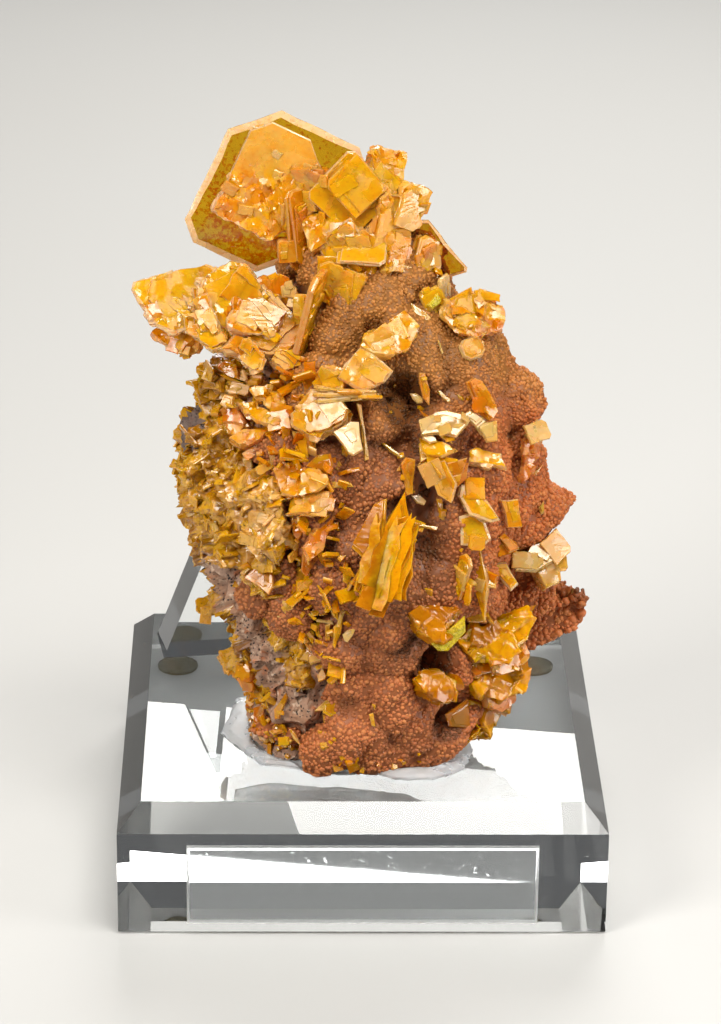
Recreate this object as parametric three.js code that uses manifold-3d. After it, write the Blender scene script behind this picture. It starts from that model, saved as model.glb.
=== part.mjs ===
// Wulfenite crystals and a mimetite crust on rock, pressed into putty on a clear acrylic stand.
// Millimetres, +Z up, the label faces -Y. Origin: centre of the stand's footprint on the table.
import * as THREE from 'three';
import { mergeVertices } from 'three/addons/utils/BufferGeometryUtils.js';
import Module from 'manifold-3d';

const wasm = await Module();
wasm.setup();

// Stand
const gap = 0.3;                // clearance left where one piece rests on or in another
const blockSide = 88.9;         // 3.5 in square block
const blockHeight = 24.5;       // nominal 1 in sheet
const bevelWidth = 4.25;        // bevel round the top, seen from above
const bevelDrop = 4.45;         // the same bevel, seen from the side
const discDiameter = 8;         // round foot pads
const discHeight = 0.5;
const discInset = 9;            // pad centre to the block's sides
const discSides = 16;
const labelWidth = 63.7;        // plate glued to the front face
const labelHeight = 15.5;
const labelThickness = 1;
const labelBottom = 2.8;        // above the table
const blockTop = discHeight + blockHeight;
const propHeight = 26;          // tapered prop behind the specimen
const propTurn = 8.5;           // degrees about the vertical
const propCorner = [-37.7, 19.7];
const propWidth = 13.3;
const propDepth = 11;
const propLeftLean = 0.39;      // mm in per mm of height
const propRightLean = 0.09;
const puttyHeight = 2.6;
const puttyLip = 1.7;           // how far the putty's side slopes in
const puttyShoulder = [0.2, 0.55];  // where the side's slope steepens: shares of the lip and of the height

// The putty's edge on the block, seen from above
const puttyEdge = [[-26.7, -12.8], [-22.8, -19.2], [-18.6, -26.4], [-11, -28.6], [-5, -29.8], [1.5, -29.2],
  [6, -32], [13, -32.4], [19, -27.6], [21, -20], [18.5, -9], [10, -1], [-4, 2], [-17, 3.6], [-23.6, 1.2],
  [-24.4, -6.5]];

// The rock, level by level: height, centre x and y, half width, reach to the front and to the back
const rockLevels = [
  [26, -5, -13, 15.5, 15.5, 13], [29, -3, -12, 19.5, 17.5, 16], [34, -1, -10, 20, 17.6, 18.5],
  [40, 1, -8, 21, 19.6, 21.5], [47, 1.5, -6, 22, 21.6, 23.5], [54, 1, -5, 25, 22.6, 23.5],
  [62, 1, -4, 28.5, 22.6, 23.5], [70, 0, -4, 30, 21.6, 23.5], [78, -0.5, -3, 30, 20.6, 21.5],
  [86, 0, -2, 28, 19.6, 19.5], [94, 0.5, -1, 25, 16.6, 16.5], [101, 0, 0, 20, 13.6, 13.5],
  [107, -0.5, 1, 14.5, 10.6, 10.5], [113, -1, 1.5, 12, 9, 8], [118, -2, 2, 7.5, 5.5, 5],
  [121, -2, 2, 3, 2.5, 2.5],
];
const rockRows = 13;
const rockColumns = 24;
const rockSquareness = 2.3;     // 2 is an ellipse, more is squarer
const rockRoughness = 0.3;      // random radius change
// Low waves round the rock: how many, their turn in radians per mm of height, and how high they are
const rockWaves = [[3, 0.23, 0.6], [7, -0.41, 0.5]];
const waveFade = 12;            // half width of the rock under which the waves die away
const smallest = 0.1;           // detail below this is smoothed away
const lumpSides = 8;
const lumpTurns = [0.7, 1.3];   // radians that each lump is turned further than the one before it
const bevelledReach = 13;       // crystals that reach further than this from their middle have bevelled rims
const rimShare = 0.35;          // bevelled rim's width, as a share of the crystal's thickness
const rimMost = 0.7;
const crustRows = 25;
const crustColumns = 40;
const crustThickness = 1.1;
// Where the crust covers the rock: height, then from and to in degrees from +X, the front being -90
const crustReach = [[26, -112, 70], [60, -112, 100], [75, -125, 112], [92, -140, 120], [121, -180, 180]];
const crustFade = 12;           // degrees over which it thins out
const buried = -0.6;            // at its edge a layer goes this share of its thickness into the rock
// The druse of small blades on the left side: from and to in degrees and in height
const druseTurn = [146, 241];
const druseHeight = [36, 102];
const druseThickness = 2.4;
const druseRaggedness = 1.8;
const druseBlades = 10;
const druseRows = 11;
const druseColumns = 20;
const druseFade = [8, 5];       // degrees and height over which it thins out
// The druse's blades: width, height, degrees they face away from the rock's own direction, and degrees up
const bladeWidth = [3.5, 6.5];
const bladeHeight = [3, 5];
const bladeAside = [-55, 55];
const bladeUp = [20, 70];
const bladeTurn = [-30, 30];
const bladeThickness = 1;
// Knobs that stand out of the rock: angle from +X in degrees, height, reach, spread in mm
const rockKnobs = [[138, 58, 7, 9], [196, 84, 3.4, 5], [60, 72, 3, 12], [100, 45, 3, 9], [20, 92, 2, 7]];
const knobRadius = 25;          // radius at which a knob's spread is measured round the rock

// Mimetite lumps: centre x, y, z and radius
const crustLumps = [
  // upper
  [-12, 1.5, 113.5, 3.5], [2.5, -7.5, 109.5, 4.5], [7, -4, 111, 4.5], [9.5, 2, 113.5, 4.5],
  [12, -3.5, 107.5, 4.5], [4, -10.5, 104, 4.5], [-4, -10, 105, 4.5], [-10.5, -14, 96.5, 4.5],
  [0, 1, 119, 3.5], [10.5, -9, 103.5, 4.5], [-10, -17.5, 91, 4],
  // mound
  [16, -9.5, 97.5, 6], [11.5, -13, 97.5, 4.5], [21, -4, 99, 4],
  // knobs
  [2.5, -16, 96, 3.5], [3.5, -18, 91.5, 4.5], [1, -20.5, 87.5, 4.5], [11.5, -19.5, 86, 4.5],
  // right
  [26.5, -3.5, 93, 4.5], [29.5, -7, 90.5, 4.5], [22, -14.5, 85.5, 4.5], [26.5, -10, 83.5, 5],
  [29.5, -7.5, 78.5, 4.5], [22.5, -16, 78.5, 5], [26.5, -12.5, 74.5, 5], [16, -19, 80.5, 4.5],
  // right lobe
  [32, -7, 73, 4.5], [36, -7, 69, 4.5], [32, -7, 66, 5], [28, -12.5, 63.5, 5],
  [25.5, -16, 69.5, 4.5],
  // low lobe
  [34, -7, 51.5, 4.5], [40, -7, 49, 4], [35, -7, 46, 4.5], [28.5, -7, 54.5, 5],
  // centre
  [14, -21.5, 72.5, 5.5], [12.5, -23, 65, 6.5], [17.5, -22, 60.5, 5.5], [19.5, -20.5, 67, 5],
  [22.5, -18, 55, 5], [9.5, -25.5, 59.5, 5], [19.5, -19, 73, 5],
  // middle
  [-4.5, -22.5, 80, 4.5], [4, -22, 80.5, 5], [-8.5, -20.5, 85, 4.5], [-4.5, -25, 69.5, 4.5],
  [-5, -26, 62, 4.5], [2, -25, 69, 5], [3, -26, 60.5, 5], [-9, -23.5, 73, 4.5],
  [-14, -19, 85.5, 4.5], [-12, -21, 80, 4.5],
  // dome
  [-2.5, -26.5, 50.5, 5.5], [6.5, -26, 50.5, 6.5], [11, -25.5, 54, 4.5],
  // low
  [-2, -27.5, 34.5, 4.5], [4, -26.5, 33.5, 5.5], [9.5, -24, 30, 6], [15, -23, 30.5, 4.5],
  [18.5, -18, 33, 4.5], [5, -26.5, 39.5, 5], [-1.5, -27, 40, 4.5], [14.5, -23, 46, 4],
  // back
  [-14.5, 15.5, 88, 5.5], [-5, 19.5, 80, 6], [7, 19, 77, 6], [16.5, 14.5, 85, 5.5], [20.5, 14.5, 71, 6],
  [10.5, 20.5, 65, 6], [-2, 21.5, 68, 5.5], [24.5, 7.5, 79, 5.5], [25.5, 1, 89, 5], [27.5, 5, 66, 5.5],
  [28.5, 0, 57, 5],
];
const patchLumps = [
  [-18, -21, 57.5, 4.5], [-13, -23, 56, 5], [-15, -22.8, 62.5, 4.5],
];

const degrees = (angle) => THREE.MathUtils.degToRad(angle);

// A repeatable random number from 0 to 1 for a whole number
function chance(index) {
  const wave = Math.sin(index * 127.1 + 311.7) * 43758.5453;
  return wave - Math.floor(wave);
}

// A geometry as a solid that can be joined and cut
function solidOf(geometry) {
  const bare = geometry.clone();
  bare.deleteAttribute('normal');
  bare.deleteAttribute('uv');
  const merged = mergeVertices(bare);
  return new wasm.Manifold(new wasm.Mesh({
    numProp: 3,
    vertProperties: Float32Array.from(merged.attributes.position.array),
    triVerts: Uint32Array.from(merged.index.array),
  }));
}

// The biggest body of a solid, without the splinters that a cut leaves
function mainBody(solid) {
  const bodies = solid.decompose();
  return bodies.reduce((big, body) => (body.volume() > big.volume() ? body : big));
}

// A solid as a geometry, without splinters and edges too small to matter
function geometryOf(solid) {
  const mesh = mainBody(mainBody(solid).simplify(smallest)).getMesh();
  const geometry = new THREE.BufferGeometry();
  geometry.setAttribute('position', new THREE.BufferAttribute(Float32Array.from(mesh.vertProperties), 3));
  geometry.setIndex(new THREE.BufferAttribute(Uint32Array.from(mesh.triVerts), 1));
  geometry.computeVertexNormals();
  return geometry;
}

// A closed geometry from stacked rings of points, each ring anticlockwise seen from above
function stackedRings(rings) {
  const count = rings[0].length;
  const positions = rings.flat(2);
  const triangles = [];
  for (let row = 0; row + 1 < rings.length; row += 1) {
    for (let column = 0; column < count; column += 1) {
      const next = (column + 1) % count;
      const [a, b] = [row * count + column, row * count + next];
      triangles.push(a, b, b + count, a, b + count, a + count);
    }
  }
  const flat = (ring) => THREE.ShapeUtils.triangulateShape(ring.map(([x, y]) => new THREE.Vector2(x, y)), []);
  const last = (rings.length - 1) * count;
  flat(rings[0]).forEach(([a, b, c]) => triangles.push(c, b, a));
  flat(rings[rings.length - 1]).forEach(([a, b, c]) => triangles.push(last + a, last + b, last + c));
  const geometry = new THREE.BufferGeometry();
  geometry.setAttribute('position', new THREE.Float32BufferAttribute(positions, 3));
  geometry.setIndex(triangles);
  return geometry;
}

// Every point moved out from the outline's middle by a distance
function widened(outline, distance) {
  const middle = [0, 1].map((axis) => outline.reduce((sum, point) => sum + point[axis], 0) / outline.length);
  return outline.map(([x, y]) => {
    const reach = Math.hypot(x - middle[0], y - middle[1]);
    const scale = (reach + distance) / reach;
    return [middle[0] + (x - middle[0]) * scale, middle[1] + (y - middle[1]) * scale];
  });
}

const square = (half) => [[-half, -half], [half, -half], [half, half], [-half, half]];
const raised = (outline, z) => outline.map(([x, y]) => [x, y, z]);

function blockGeometry() {
  const half = blockSide / 2;
  return stackedRings([
    raised(square(half), discHeight),
    raised(square(half), blockTop - bevelDrop),
    raised(square(half - bevelWidth), blockTop),
  ]);
}

function discGeometry() {
  const geometry = new THREE.CylinderGeometry(discDiameter / 2, discDiameter / 2, discHeight, discSides);
  return geometry.rotateX(Math.PI / 2);
}

function labelGeometry() {
  return new THREE.BoxGeometry(labelWidth, labelThickness, labelHeight);
}

// The prop's outline on the block narrows towards its top
function propGeometry() {
  const ring = (height) => {
    const left = propLeftLean * height;
    const right = propWidth - propRightLean * height;
    return [[left, 0], [right, 0], [right, propDepth], [left, propDepth]].map(([along, back]) => [
      propCorner[0] + along * Math.cos(degrees(propTurn)) - back * Math.sin(degrees(propTurn)),
      propCorner[1] + along * Math.sin(degrees(propTurn)) + back * Math.cos(degrees(propTurn)),
      blockTop + height,
    ]);
  };
  return stackedRings([ring(0), ring(propHeight)]);
}

function puttyRings(grow) {
  const [lipShare, heightShare] = puttyShoulder;
  return stackedRings([
    raised(widened(puttyEdge, grow), blockTop - grow),
    raised(widened(puttyEdge, grow - puttyLip * lipShare), blockTop + puttyHeight * heightShare + grow),
    raised(widened(puttyEdge, grow - puttyLip), blockTop + puttyHeight + grow),
  ]);
}

function rockLevel(z) {
  const top = rockLevels.length - 1;
  const next = Math.max(1, rockLevels.findIndex((level, index) => index === top || level[0] >= z));
  const [low, high] = [rockLevels[next - 1], rockLevels[next]];
  const share = THREE.MathUtils.clamp((z - low[0]) / (high[0] - low[0]), 0, 1);
  return low.map((value, index) => THREE.MathUtils.lerp(value, high[index], share));
}

function rockKnobReach(angle, z) {
  return rockKnobs.reduce((sum, [knobAngle, height, reach, spread]) => {
    const turn = Math.atan2(Math.sin(angle - degrees(knobAngle)), Math.cos(angle - degrees(knobAngle)));
    const along = turn * knobRadius;
    return sum + reach * Math.exp(-(along * along + (z - height) ** 2) / (spread * spread));
  }, 0);
}

// The rock's reach from the middle of its level, in a direction
function rockRadius(angle, z) {
  const [, , , side, front, back] = rockLevel(z);
  const depth = Math.sin(angle) < 0 ? front : back;
  const across = (Math.abs(Math.cos(angle)) / side) ** rockSquareness;
  const inward = (Math.abs(Math.sin(angle)) / depth) ** rockSquareness;
  const wave = ([count, turn, high]) => high * Math.sin(count * angle + z * turn);
  const ripple = rockWaves.reduce((sum, row) => sum + wave(row), 0);
  const fade = Math.min(1, side / waveFade);
  return (across + inward) ** (-1 / rockSquareness) + rockKnobReach(angle, z) + ripple * fade;
}

// A body round the rock's axis, from the reach in every direction at every height
function turnedSolid(rows, columns, reach, grow) {
  const [bottom, top] = [rockLevels[0][0], rockLevels[rockLevels.length - 1][0]];
  const rings = Array.from({ length: rows }, (_, row) => {
    const z = bottom + (top - bottom) * row / (rows - 1);
    const [, middleX, middleY] = rockLevel(z);
    const edge = row === 0 ? -grow : row === rows - 1 ? grow : 0;
    return Array.from({ length: columns }, (__, column) => {
      const angle = 2 * Math.PI * column / columns;
      const radius = reach(angle, z, row * columns + column) + grow;
      return [middleX + radius * Math.cos(angle), middleY + radius * Math.sin(angle), z + edge];
    });
  });
  return solidOf(stackedRings(rings));
}

function rockSolid(grow) {
  const jitter = (index) => rockRoughness * (2 * chance(index) - 1);
  return turnedSolid(rockRows, rockColumns, (angle, z, index) => rockRadius(angle, z) + jitter(index), grow);
}

// How far inside the crust's edge a direction lies, in steps of the fade; less than 0 is outside
function crustInside(angle, z) {
  const next = Math.max(1, crustReach.findIndex((level) => level[0] >= z));
  const [low, high] = [crustReach[next - 1], crustReach[next]];
  const share = (z - low[0]) / (high[0] - low[0]);
  const [from, to] = [1, 2].map((index) => THREE.MathUtils.lerp(low[index], high[index], share));
  const turn = THREE.MathUtils.radToDeg(angle > Math.PI * 0.75 ? angle - 2 * Math.PI : angle);
  return Math.min(turn - from, to - turn) / crustFade;
}

// How much the crust adds to the rock's radius; less than nothing where the rock is bare
function crustGrowth(angle, z) {
  return THREE.MathUtils.clamp(crustInside(angle, z), buried, 1) * crustThickness;
}

// How far a round lump reaches from the middle of a level, in a direction; 0 where it doesn't
function lumpReach([x, y, z, radius], angle, height) {
  const [, middleX, middleY] = rockLevel(height);
  const [east, north] = [x - middleX, y - middleY];
  const along = east * Math.cos(angle) + north * Math.sin(angle);
  const beside = east * Math.sin(angle) - north * Math.cos(angle);
  const left = radius ** 2 - (height - z) ** 2 - beside ** 2;
  return left > 0 ? along + Math.sqrt(left) : 0;
}

function crustSolid(grow) {
  const reach = (angle, z) => Math.max(
    rockRadius(angle, z) + crustGrowth(angle, z),
    ...crustLumps.map((lump) => lumpReach(lump, angle, z)),
  );
  return turnedSolid(crustRows, crustColumns, reach, grow);
}

// The druse: a ragged layer beside the crust on the left of the rock, thinning out at its edges
function druseReach(angle, z, index) {
  const rear = (THREE.MathUtils.radToDeg(angle) - druseTurn[0]) / druseFade[0];
  const inside = Math.min(rear, -crustInside(angle, z) + buried);
  const level = Math.min(z - druseHeight[0], druseHeight[1] - z) / druseFade[1];
  const cover = THREE.MathUtils.clamp(Math.min(inside, level), buried, 1);
  return rockRadius(angle, z) + cover * (druseThickness + druseRaggedness * chance(index + 900));
}

// Thin blades that stand out of the druse, fanned round the rock
function druseBlade(index) {
  const pick = (offset, low, high) => THREE.MathUtils.lerp(low, high, chance(index * 7 + offset));
  const turn = pick(0, druseTurn[0] + 8, druseTurn[1] - 6);
  const z = pick(1, druseHeight[0] + 4, druseHeight[1] - 4);
  const [, middleX, middleY] = rockLevel(z);
  const radius = rockRadius(degrees(turn), z) + druseThickness;
  const at = [middleX + radius * Math.cos(degrees(turn)), middleY + radius * Math.sin(degrees(turn)), z];
  const size = [pick(2, ...bladeWidth), pick(3, ...bladeHeight)];
  const face = [turn + 90 + pick(4, ...bladeAside), pick(5, ...bladeUp)];
  return slab(at, face, pick(6, ...bladeTurn), size, bladeThickness, [1, 0, 1, 0]);
}

function druseSolid(grow) {
  const blades = Array.from({ length: druseBlades }, (_, index) => druseBlade(index));
  const crystals = joined([...blades, ...druseCrystals].map((row) => slabSolid(row, grow)));
  return crystals.add(turnedSolid(druseRows, druseColumns, druseReach, grow));
}

function lumpSolid([x, y, z, radius], index, grow) {
  const geometry = new THREE.SphereGeometry(radius + grow, lumpSides, lumpSides / 2);
  geometry.rotateX(index * lumpTurns[0]).rotateZ(index * lumpTurns[1]).translate(x, y, z);
  return solidOf(geometry);
}

const joined = (solids) => solids.reduce((whole, solid) => whole.add(solid));

// An outline with the corners of a rectangle cut off, from top left clockwise
function cutRectangle([width, height], cuts, turn) {
  const [x, y] = [width / 2, height / 2];
  const corners = [[-x, y, 1, 0, 0, -1], [x, y, 0, -1, -1, 0], [x, -y, -1, 0, 0, 1], [-x, -y, 0, 1, 1, 0]];
  const points = corners.flatMap(([cx, cy, alongX, alongY, beforeX, beforeY], index) => (cuts[index] > 0 ? [
    [cx + beforeX * cuts[index], cy + beforeY * cuts[index]],
    [cx + alongX * cuts[index], cy + alongY * cuts[index]],
  ] : [[cx, cy]]));
  const [cos, sin] = [Math.cos(degrees(turn)), Math.sin(degrees(turn))];
  return points.map(([u, v]) => [u * cos - v * sin, u * sin + v * cos]).reverse();
}

// A tabular crystal: flat faces, and a rim bevelled to both of them
function slabSolid({ at, face, outline, thick }, grow) {
  const half = thick / 2 + grow;
  const reach = Math.max(...outline.map(([u, v]) => Math.hypot(u, v)));
  const rim = Math.min(rimShare * thick, rimMost);
  const anticlockwise = THREE.ShapeUtils.area(outline.map(([u, v]) => new THREE.Vector2(u, v))) > 0;
  const ordered = anticlockwise ? outline : [...outline].reverse();
  const wide = widened(ordered, grow);
  const narrow = widened(ordered, grow - rim);
  const rings = reach > bevelledReach
    ? [raised(narrow, -half), raised(wide, 0), raised(narrow, half)]
    : [raised(wide, -half), raised(wide, half)];
  const normal = facing(face);
  const across = new THREE.Vector3(Math.cos(degrees(face[0])), Math.sin(degrees(face[0])), 0);
  const up = new THREE.Vector3().crossVectors(normal, across);
  const place = new THREE.Matrix4().makeBasis(across, up, normal).setPosition(...at);
  return solidOf(stackedRings(rings).applyMatrix4(place));
}

// The direction of a face: degrees to the right of -Y, and degrees up
function facing([right, up]) {
  const level = Math.cos(degrees(up));
  const [x, y] = [Math.sin(degrees(right)) * level, -Math.cos(degrees(right)) * level];
  return new THREE.Vector3(x, y, Math.sin(degrees(up)));
}

// Crystals. slab: centre, direction faced, turn in its own plane, width and height, thickness, corners cut.
const slab = (at, face, turn, size, thick, cuts) => (
  { at, face, thick, outline: cutRectangle(size, cuts, turn) }
);
// slabOf: the same, with its outline as points across and up in its own plane.
const slabOf = (at, face, thick, outline) => ({ at, face, thick, outline });

// Bigger crystals in the druse on the left side
const druseCrystals = [
  slabOf([-17.4, -25.6, 73.8], [-24, 24], 3.4,
    [[-4.3, 4.3], [0.3, 7.4], [2.8, 2], [4.3, -2.6], [0.2, -7.3], [-3.3, -3.9]]),
  slabOf([-24.1, -9.6, 94.8], [-18, 52], 2.4,
    [[-5.3, -0.7], [-3.9, 3.3], [2.7, 3.4], [6.3, 0], [2.4, -2.6], [-2.2, -3.3]]),
  slabOf([-18.4, -25.2, 62.5], [-16, 34], 2,
    [[-3.5, -0.2], [1, 3.5], [2.3, 0.9], [1.7, -2.3], [-1.5, -2]]),
];

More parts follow.
